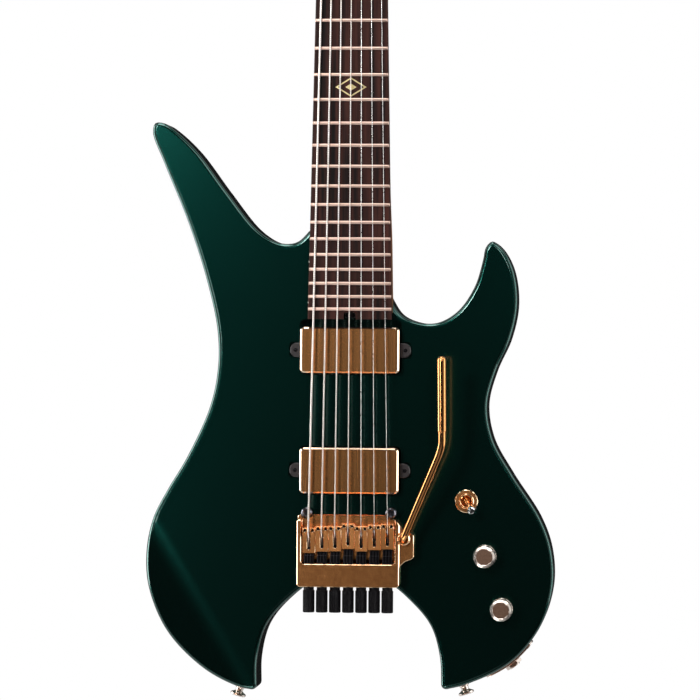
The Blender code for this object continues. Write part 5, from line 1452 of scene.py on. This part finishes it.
half = CLAW_HEIGHT / 2
claw = box(
    (-CLAW_HALF_WIDTH, CLAW_HALF_WIDTH), (-spring_depth - half, -spring_depth + half),
    (CLAW_Z, CLAW_Z + CLAW_THICKNESS),
)
joins = [
    rod(
        CLAW_SCREW_RADIUS, (side * SPRING_PITCH / 2, spring_depth, CLAW_Z + 0.001), UP,
        SPRING_CAVITY_TOP + CLAW_SCREW_REACH - CLAW_Z - 0.001, 20,
    )
    for side in (-1, 1)
]
dress("spring_claw_bent", carved(claw, joins=joins), steel, "bright_steel", "spring_claw")

# Two cover plates of black moulded ABS lie flush in the back. Each is held by small black wood
# screws, whose heads stand in shallow sinks.

SCREW_HEAD_RADIUS = 0.0026
SCREW_HEAD_RISE = 0.0009
COVER_SCREW_RADIUS = SCREW_HEAD_RADIUS + 0.0002


def cover(name, outline, screw_places):
    """A cover plate with a softly broken edge, and its screws."""
    plate = slab(outline, -BODY_THICKNESS, -BODY_THICKNESS + COVER_THICKNESS)
    round_edges(plate, 0.0004, 2, at_height(-BODY_THICKNESS))
    sinks = [
        rod(COVER_SCREW_RADIUS + 0.0002, (x, BODY_THICKNESS + 0.001, z), FRONT, 0.0022)
        for x, z in screw_places
    ]
    dress(f"{name}_moulded", carved(plate, sinks), black_abs, "black_plastic", name)
    places = [facing(BACK, (x, BODY_THICKNESS - 0.0010, z)) for x, z in screw_places]
    screws = copies(lambda: cross_screw(COVER_SCREW_RADIUS, SCREW_HEAD_RISE), places)
    dress(f"{name}_screws", screws, black_steel, "black_plate", body="guitar")


side = WELL_HALF_WIDTH + 0.0005
low, high = WELL_BACK - 0.0006, SPRING_CAVITY_TOP + 0.0006
spring_cover_screws = [(s * side, z) for s in (-1, 1) for z in (low, (low + high) / 2, high)]
cover("tremolo_cover", spring_cover_outline(0.0), spring_cover_screws)
rim = control_outline(0.0)
control_cover_screws = [rim[round(len(rim) * share)] for share in (0.0, 0.21, 0.42, 0.62, 0.82)]
cover("control_cover", control_outline(COVER_LEDGE), [tuple(p) for p in control_cover_screws])

# Four bolts hold the neck's tenon. Their blackened heads stand in gold-plated brass ferrules on the
# back, round as washers, with a softly raised rim.

NECK_BOLTS = ((-0.022, 0.175), (0.014, 0.175), (-0.022, 0.208), (0.004, 0.190))
FERRULE_RADIUS = 0.0072

ferrules = [facing(BACK, (x, BODY_THICKNESS, z)) for x, z in NECK_BOLTS]
bolts = [facing(BACK, (x, BODY_THICKNESS + 0.0002, z)) for x, z in NECK_BOLTS]
ring_profile = (
    (FERRULE_RADIUS, 0.0), (FERRULE_RADIUS, 0.0003), (FERRULE_RADIUS - 0.0005, 0.0008),
    (FERRULE_RADIUS - 0.0022, 0.0008), (FERRULE_RADIUS - 0.0028, 0.0002), (FERRULE_RADIUS - 0.0028, -0.0010),
    (FERRULE_RADIUS, -0.0010),
)
rings = copies(lambda: turned(ring_profile, 48, True), ferrules)
dress("neck_bolt_ferrules", rings, gold, "gold_plate", body="guitar")
heads = copies(lambda: cross_screw(FERRULE_RADIUS - 0.0029, 0.0011), bolts)
dress("neck_bolts", heads, black_steel, "black_plate", body="guitar")

# The volume and tone knobs are turned brass with a flat face, a broad polished chamfer that carries
# a painted highlight, and a ribbed skirt, gold plated. Each is one piece with the shaft that it turns
# in its pot.

# Pale gold plate over bright nickel: pinker, and nearly white on its chamfers, where that colour is a painted
# highlight.
pale_gold, shader, place = new_finish("pale_gold_plate_turned", "#fac4a4", 0.24, Metallic=1.0)
turning = noise(pale_gold, place, 0.0015, 4.0)
dull = ranged(pale_gold, turning, 0.21, 0.28)
tone = mixed(pale_gold, turning, "#f7bc9a", "#fccdb0")
# The near-white colour given to the chamfers is a painted highlight, over their real smoother polish.
polish_chamfers_and_paint_highlight(pale_gold, shader, dull, tone, "#fff2e8", polish=0.26, from_slant=0.20)

KNOB_RADIUS = 0.0090
KNOB_HEIGHT = 0.0168
KNOB_FACE_RADIUS = 0.0067
KNOB_STEPS = 96
KNOB_RIB = 0.0002
SHAFT_RADIUS = 0.0030
SHAFT_DEPTH = 0.0120
POT_RADIUS = 0.0080
POT_DEPTH = 0.0115


def knob():
    """A knob with its shaft below Z zero, and fine ribs round its skirt."""
    foot = FIT * 2
    bm = turned((
        (0, -SHAFT_DEPTH), (SHAFT_RADIUS, -SHAFT_DEPTH), (SHAFT_RADIUS, foot), (KNOB_RADIUS - 0.0004, foot),
        (KNOB_RADIUS, foot + 0.0004), (KNOB_RADIUS, foot + 0.0022), (KNOB_RADIUS - 0.0005, foot + 0.0026),
        (KNOB_RADIUS, foot + 0.0030), (KNOB_RADIUS, KNOB_HEIGHT - 0.0022),
        (KNOB_RADIUS - 0.0005, KNOB_HEIGHT - 0.0011), (KNOB_FACE_RADIUS + 0.0002, KNOB_HEIGHT),
        (KNOB_FACE_RADIUS, KNOB_HEIGHT), (KNOB_FACE_RADIUS - 0.0002, KNOB_HEIGHT - 0.00015),
        (0, KNOB_HEIGHT - 0.00015),
    ), KNOB_STEPS)
    for v in bm.verts:
        if foot + 0.0028 < v.co.z < KNOB_HEIGHT - 0.0025 and v.co.xy.length > KNOB_RADIUS - 1e-6:
            if round(math.atan2(v.co.y, v.co.x) / (math.tau / KNOB_STEPS)) % 2:
                v.co.xy *= 1 - KNOB_RIB / KNOB_RADIUS
    return bm


for name, (x, z) in (("volume", VOLUME_AT), ("tone", TONE_AT)):
    knob_piece = placed(knob(), facing(FRONT, (x, 0, z)))
    dress(f"{name}_knob_turned", knob_piece, pale_gold, "gold_plate", f"{name}_knob", crease=18)
    seat = -CONTROL_WALL - FIT
    pot = turned((
        (SHAFT_RADIUS + FIT, -SHAFT_DEPTH - FIT), (SHAFT_RADIUS + FIT, FIT), (POT_BUSH_RADIUS, FIT),
        (POT_BUSH_RADIUS, seat), (POT_RADIUS - 0.0006, seat), (POT_RADIUS, seat - 0.0006),
        (POT_RADIUS, seat - POT_DEPTH + 0.0008), (POT_RADIUS - 0.0008, seat - POT_DEPTH),
        (0, seat - POT_DEPTH), (0, -SHAFT_DEPTH - FIT),
    ), 48, closed=True)
    dress(f"{name}_pot_can", placed(pot, facing(FRONT, (x, 0, z))), steel, "bright_steel", f"{name}_pot")

# The pickup selector is a toggle switch: a stepped, gold-plated ring nut over its threaded bush, and
# a gold-plated lever that leans to the lower right, with a bright nickel tip.

RING_RADIUS = 0.00935
RING_HEIGHT = 0.0036
SWITCH_BODY_HALF = 0.0080
SWITCH_BODY_DEPTH = 0.0180
LEVER_LENGTH = 0.0200
LEVER_TILT = math.radians(27.0)
LEVER_HEADING = math.radians(-55.6)
LEVER_ROD_RADIUS = 0.0015
LEVER_TIP_RADIUS = 0.0032
LEVER_BALL_RADIUS = 0.0018

x, z = SWITCH_AT
seat = -CONTROL_WALL - FIT
mouth = SWITCH_BUSH_RADIUS - 0.0009
ring_nut = turned((
    (0, FIT - LEVER_BALL_RADIUS - FIT * 2), (LEVER_BALL_RADIUS + 0.0008, FIT - LEVER_BALL_RADIUS - FIT),
    (mouth - 0.0004, RING_HEIGHT - 0.0016), (mouth - 0.0004, RING_HEIGHT - 0.0004), (mouth, RING_HEIGHT),
    (mouth + 0.0005, RING_HEIGHT), (mouth + 0.0011, RING_HEIGHT - 0.0007),
    (RING_RADIUS - 0.0007, RING_HEIGHT - 0.0008), (RING_RADIUS - 0.0001, RING_HEIGHT - 0.0013),
    (RING_RADIUS, RING_HEIGHT - 0.0016), (RING_RADIUS, FIT),
    (SWITCH_BUSH_RADIUS, FIT), (SWITCH_BUSH_RADIUS, seat - 0.001), (0, seat - 0.001),
), 64)
sides = (-SWITCH_BODY_HALF, SWITCH_BODY_HALF)
case = box(sides, sides, (seat - SWITCH_BODY_DEPTH, seat))
switch = placed(carved(case, joins=[ring_nut]), facing(FRONT, (x, 0, z)))
dress("toggle_switch_nut", switch, gold, "gold_plate", "toggle_switch", crease=24)

# Nickel plate on turned brass, bright and nearly white.
bright_nickel = mottled(
    "nickel_plate_bright", "#e8e6e4", 0.12, 0.001, 3.0, dulls=(0.08, 0.20), Metallic=1.0
)

lean = Vector((math.cos(LEVER_HEADING), 0, math.sin(LEVER_HEADING)))
lever_way = (FRONT * math.cos(LEVER_TILT) + lean * math.sin(LEVER_TILT)).normalized()
lever_place = facing(lever_way, (x, -FIT, z))
ball, tip = LEVER_BALL_RADIUS, LEVER_TIP_RADIUS
lever_rod = turned((
    (0, -ball), (ball * 0.6, -ball * 0.8), (ball * 0.95, -ball * 0.3), (ball * 0.95, ball * 0.3),
    (LEVER_ROD_RADIUS, ball), (LEVER_ROD_RADIUS, LEVER_LENGTH * 0.58), (0, LEVER_LENGTH * 0.58),
), 32)
dress("switch_lever_rod", placed(lever_rod, lever_place), gold, "bright_steel", "switch_lever")
lever_tip = turned((
    (LEVER_ROD_RADIUS + 0.00005, LEVER_LENGTH * 0.50), (tip * 0.62, LEVER_LENGTH * 0.50),
    (tip * 0.74, LEVER_LENGTH * 0.60), (tip * 0.95, LEVER_LENGTH * 0.78), (tip, LEVER_LENGTH * 0.88),
    (tip * 0.93, LEVER_LENGTH * 0.945), (tip * 0.7, LEVER_LENGTH * 0.985), (tip * 0.35, LEVER_LENGTH),
    (0, LEVER_LENGTH), (0, LEVER_LENGTH * 0.60), (LEVER_ROD_RADIUS + 0.00005, LEVER_LENGTH * 0.60),
), 32, closed=True)
dress("switch_lever_tip", placed(lever_tip, lever_place), bright_nickel, "bright_steel", body="lever")

# The output jack sits in the lower treble edge, behind a gold-plated plate that is bent to the
# body's curve. A hexagon nut clamps it, and two cross-head screws hold the plate.

JACK_BORE_RADIUS = 0.0033
JACK_NUT_RADIUS = 0.0074
JACK_NUT_HEIGHT = 0.0026
JACK_BODY_LENGTH = 0.014
JACK_PLATE_HALF_LENGTH = 0.0235
JACK_PLATE_HALF_WIDTH = 0.0105
JACK_PLATE_THICKNESS = 0.0014
JACK_PLATE_CORNER = 0.005
JACK_SCREW_REACH = 0.0175

edge = smooth_outline(BODY_OUTLINE, 0.001)
jack_out, jack_way = edge_axis(JACK_AT)
near = min(range(len(edge)), key=lambda k: (edge[k] - Vector((jack_out.x, jack_out.z))).length)


def along_edge(reach, rise):
    """A point this far along the body's edge from the jack, and this far outside it."""
    step, left = (1 if reach > 0 else -1), abs(reach)
    k = near
    while left > (edge[k + step] - edge[k]).length:
        left -= (edge[k + step] - edge[k]).length
        k += step
    point = edge[k].lerp(edge[k + step], left / (edge[k + step] - edge[k]).length)
    along = (edge[k + 3] - edge[k - 3]).normalized()
    return point + Vector((along.y, -along.x)) * rise


size = (2 * JACK_PLATE_HALF_LENGTH, 2 * JACK_PLATE_HALF_WIDTH, JACK_PLATE_THICKNESS)
flat = cube((0, 0, FIT + JACK_PLATE_THICKNESS / 2), size)
round_edges(flat, JACK_PLATE_CORNER, 6, along_z)
top = FIT + JACK_PLATE_THICKNESS
round_edges(flat, 0.0004, 2, lambda a, b: abs(a.z - top) < 1e-7 and abs(b.z - top) < 1e-7)
flat = carved(flat, [rod(JACK_BUSH_RADIUS + FIT, (0, 0, 0.01), (0, 0, -1), 0.02)])
for place_x in spaced(-JACK_PLATE_HALF_LENGTH, JACK_PLATE_HALF_LENGTH, 16)[1:-1]:
    bmesh.ops.bisect_plane(
        flat, geom=[*flat.verts, *flat.edges, *flat.faces], dist=1e-6,
        plane_co=(place_x, 0, 0), plane_no=(1, 0, 0),
    )
for v in flat.verts:
    point = along_edge(v.co.x, v.co.z)
    v.co = (point.x, BODY_THICKNESS / 2 + v.co.y, point.y)
bmesh.ops.recalc_face_normals(flat, faces=flat.faces)
dress("jack_plate_bent", flat, pale_gold, "gold_plate", "jack_plate")

face = 2 * FIT + JACK_PLATE_THICKNESS
nut_top = face + JACK_NUT_HEIGHT
inner = -JACK_WALL - JACK_BODY_LENGTH
socket_tube = turned((
    (JACK_BORE_RADIUS, inner + 0.003), (JACK_BORE_RADIUS, nut_top + 0.0006),
    (JACK_BORE_RADIUS + 0.0002, nut_top + 0.0008),
    (JACK_BUSH_RADIUS - 0.0003, nut_top + 0.0008), (JACK_BUSH_RADIUS, nut_top + 0.0005),
    (JACK_BUSH_RADIUS, -JACK_WALL - FIT), (JACK_BODY_RADIUS, -JACK_WALL - FIT), (JACK_BODY_RADIUS, inner),
    (0, inner), (0, inner + 0.003),
), 48, closed=True)
nut_ring = rod(JACK_NUT_RADIUS, (0, 0, face), UP, JACK_NUT_HEIGHT, 6)
nut_round = turned((
    (0, face), (JACK_NUT_RADIUS * 0.98, face), (JACK_NUT_RADIUS * 0.98, nut_top - 0.0006),
    (JACK_NUT_RADIUS * 0.88, nut_top), (0, nut_top),
))
hexagon = carved(nut_ring, within=[nut_round])
jack = carved(socket_tube, [rod(JACK_BORE_RADIUS, (0, 0, nut_top + 0.002), (0, 0, -1), 0.02)], [hexagon])
jack = placed(jack, facing(jack_way, jack_out))
dress("jack_socket_nut", jack, pale_gold, "gold_plate", "jack_socket", crease=28)

places = []
for reach in (-JACK_SCREW_REACH, JACK_SCREW_REACH):
    on, over = along_edge(reach, top - 0.0003), along_edge(reach, top + 0.01)
    at = Vector((on.x, BODY_THICKNESS / 2, on.y))
    places.append(facing((Vector((over.x, BODY_THICKNESS / 2, over.y)) - at).normalized(), at))
screws = copies(lambda: cross_screw(SCREW_HEAD_RADIUS, SCREW_HEAD_RISE), places)
dress("jack_plate_screws", screws, pale_gold, "gold_plate", body="guitar")

# Three strap buttons, turned brass with gold plate, are screwed to the ends of the legs and to the
# back of the upper horn. Each has an oval cross-head screw in its hollow.

BUTTON_FOOT_RADIUS = 0.0042
BUTTON_HEAD_RADIUS = 0.0064
BUTTON_NECK_RADIUS = 0.0031
BUTTON_HEIGHT = 0.0088
LEFT_BUTTON_AT = (-0.0893, -0.1378)
RIGHT_BUTTON_AT = (0.0922, -0.1342)
HORN_BUTTON_AT = (-0.1030, 0.2330)

button_profile = (
    (0, FIT), (BUTTON_FOOT_RADIUS, FIT), (BUTTON_FOOT_RADIUS, 0.0012), (BUTTON_FOOT_RADIUS - 0.0007, 0.0020),
    (BUTTON_NECK_RADIUS, 0.0029), (BUTTON_NECK_RADIUS, BUTTON_HEIGHT * 0.54),
    (BUTTON_NECK_RADIUS + 0.0012, BUTTON_HEIGHT * 0.64), (BUTTON_HEAD_RADIUS - 0.0005, BUTTON_HEIGHT * 0.74),
    (BUTTON_HEAD_RADIUS, BUTTON_HEIGHT * 0.79), (BUTTON_HEAD_RADIUS, BUTTON_HEIGHT - 0.0008),
    (BUTTON_HEAD_RADIUS - 0.0006, BUTTON_HEIGHT - 0.0002), (BUTTON_HEAD_RADIUS - 0.0012, BUTTON_HEIGHT),
    (BUTTON_HEAD_RADIUS - 0.0022, BUTTON_HEIGHT - 0.0002), (0.0030, BUTTON_HEIGHT - 0.0016),
    (0, BUTTON_HEIGHT - 0.0016),
)
horn = Vector((HORN_BUTTON_AT[0], BODY_THICKNESS, HORN_BUTTON_AT[1]))
for name, (at, way) in (
    ("bass", edge_axis(LEFT_BUTTON_AT)), ("treble", edge_axis(RIGHT_BUTTON_AT)), ("horn", (horn, BACK))
):
    button = placed(turned(button_profile), facing(way, at))
    dress(f"strap_button_{name}_turned", button, pale_gold, "gold_plate", f"strap_button_{name}", crease=26)
    head = cross_screw(SCREW_HEAD_RADIUS + 0.0001, SCREW_HEAD_RISE)
    screw = placed(head, facing(way, at + way * (BUTTON_HEIGHT - 0.0015)))
    dress(f"strap_button_{name}_screw", screw, pale_gold, "gold_plate", body="guitar")

# The studio: a plain grey floor well below the guitar and white round it. The camera's side and what
# lies straight behind the guitar are dark in reflections, so the flats and the side walls stay deep.
# Small soft lights near the camera raise the metallic flats, and strips beside it draw the edges.

FLOOR_AT = (0, 0.45, -0.50)
FLOOR_HALF_SIZE = (0.9, 0.6)

floor_bm = bmesh.new()
spread = Matrix.Diagonal((*FLOOR_HALF_SIZE, 1, 1))
bmesh.ops.create_grid(
    floor_bm, x_segments=1, y_segments=1, size=1.0, matrix=Matrix.Translation(FLOOR_AT) @ spread
)
floor = as_object("floor", floor_bm)
paper = new_finish("studio_paper", "#a8a8a8", 0.8)[0]
floor.data.materials.append(paper)

DARK_SIDE = 0.02
DEEP_BEHIND = 0.01
RISE_FROM, RISE_TO = -0.05, 0.30
FALL_FROM, FALL_TO = 0.40, 0.80
PLAIN_LEVEL = 0.60
world = bpy.data.worlds.new("studio_world")
bpy.context.scene.world = world
world.use_nodes = True
background = world.node_tree.nodes["Background"]
rays = add_node(world, "ShaderNodeLightPath")
way_out = add_node(world, "ShaderNodeTexCoord").outputs["Generated"]
depth = add_node(world, "ShaderNodeSeparateXYZ", {"Vector": way_out}).outputs["Y"]
rise = ranged(world, depth, DARK_SIDE, 1.0, RISE_FROM, RISE_TO, interpolation_type="SMOOTHSTEP")
fall = ranged(world, depth, 1.0, DEEP_BEHIND, FALL_FROM, FALL_TO, interpolation_type="SMOOTHSTEP")
reflected = worked(world, "MAXIMUM", rays.outputs["Is Glossy Ray"], rays.outputs["Is Transmission Ray"])
level = shared(world, reflected, PLAIN_LEVEL, worked(world, "MULTIPLY", rise, fall))
strength = shared(world, rays.outputs["Is Camera Ray"], level, 1.0)
feed(world, background, Strength=strength)
background.inputs["Color"].default_value = (1, 1, 1, 1)

LAMPS = (
    ("key_upper_left", (-0.62, -1.65, 0.50), (0.30, 0.30), 9.0),
    ("fill_left", (-0.74, -1.60, -0.15), (0.25, 0.25), 2.0),
    ("fill_upper_right", (0.42, -1.65, 0.35), (0.25, 0.25), 1.7),
    ("low_front", (-0.10, -1.40, -1.00), (1.00, 0.80), 0.7),
    ("softbox_left", (-0.80, -0.75, 0.95), (0.90, 0.50), 4.0),
    ("softbox_right", (0.80, -0.75, 0.95), (0.90, 0.50), 4.0),
    ("softbox_top", (0.00, -0.60, 1.25), (0.80, 0.40), 5.0),
    ("strip_low", (-0.35, -0.32, -0.95), (1.10, 0.25), 5.0),
    ("strip_left", (-1.50, 0.05, 0.10), (0.50, 1.50), 19.0),
    ("strip_right", (1.50, -0.17, 0.10), (0.40, 1.50), 8.0),
    ("strip_top", (-0.12, -0.28, 1.50), (1.20, 0.40), 6.0),
    ("panel_right", (1.25, -0.85, 0.10), (0.90, 1.40), 1.6),
    ("string_light", (-1.15, -1.15, 0.20), (0.25, 1.10), 1.5),
)
for name, at, (width, height), power in LAMPS:
    light = bpy.data.lights.new(name, "AREA")
    light.shape = "RECTANGLE"
    light.size = width
    light.size_y = height
    light.energy = power
    lamp = bpy.data.objects.new(name, light)
    aim = Vector((0, at[1] if abs(at[1]) < 0.3 else 0, 0.10 if abs(at[0]) > 0.5 else 0))
    turn = (aim - Vector(at)).to_track_quat("-Z", "Y")
    lamp.matrix_world = Matrix.Translation(at) @ turn.to_matrix().to_4x4()
    bpy.context.scene.collection.objects.link(lamp)

# The camera stands level, a little to the treble side, with a long lens, and is rolled by 0.37 of a
# degree as the photograph is.

CAMERA_AZIMUTH = math.radians(4.5)
CAMERA_DISTANCE = 3.2
CAMERA_ROLL = math.radians(0.373)
FRAME_WIDTH = 0.5614
aim = Vector((0.0009, -0.0615, -0.0046))
towards = Vector((math.sin(CAMERA_AZIMUTH), -math.cos(CAMERA_AZIMUTH), 0))
lens = bpy.data.cameras.new("camera")
lens.lens = lens.sensor_width * CAMERA_DISTANCE / FRAME_WIDTH
camera = bpy.data.objects.new("camera", lens)
turn = (-towards).to_track_quat("-Z", "Y").to_matrix().to_4x4() @ Matrix.Rotation(CAMERA_ROLL, 4, "Z")
camera.matrix_world = Matrix.Translation(aim + towards * CAMERA_DISTANCE) @ turn
bpy.context.scene.collection.objects.link(camera)
bpy.context.scene.camera = camera
bpy.context.scene.view_settings.view_transform = "Standard"
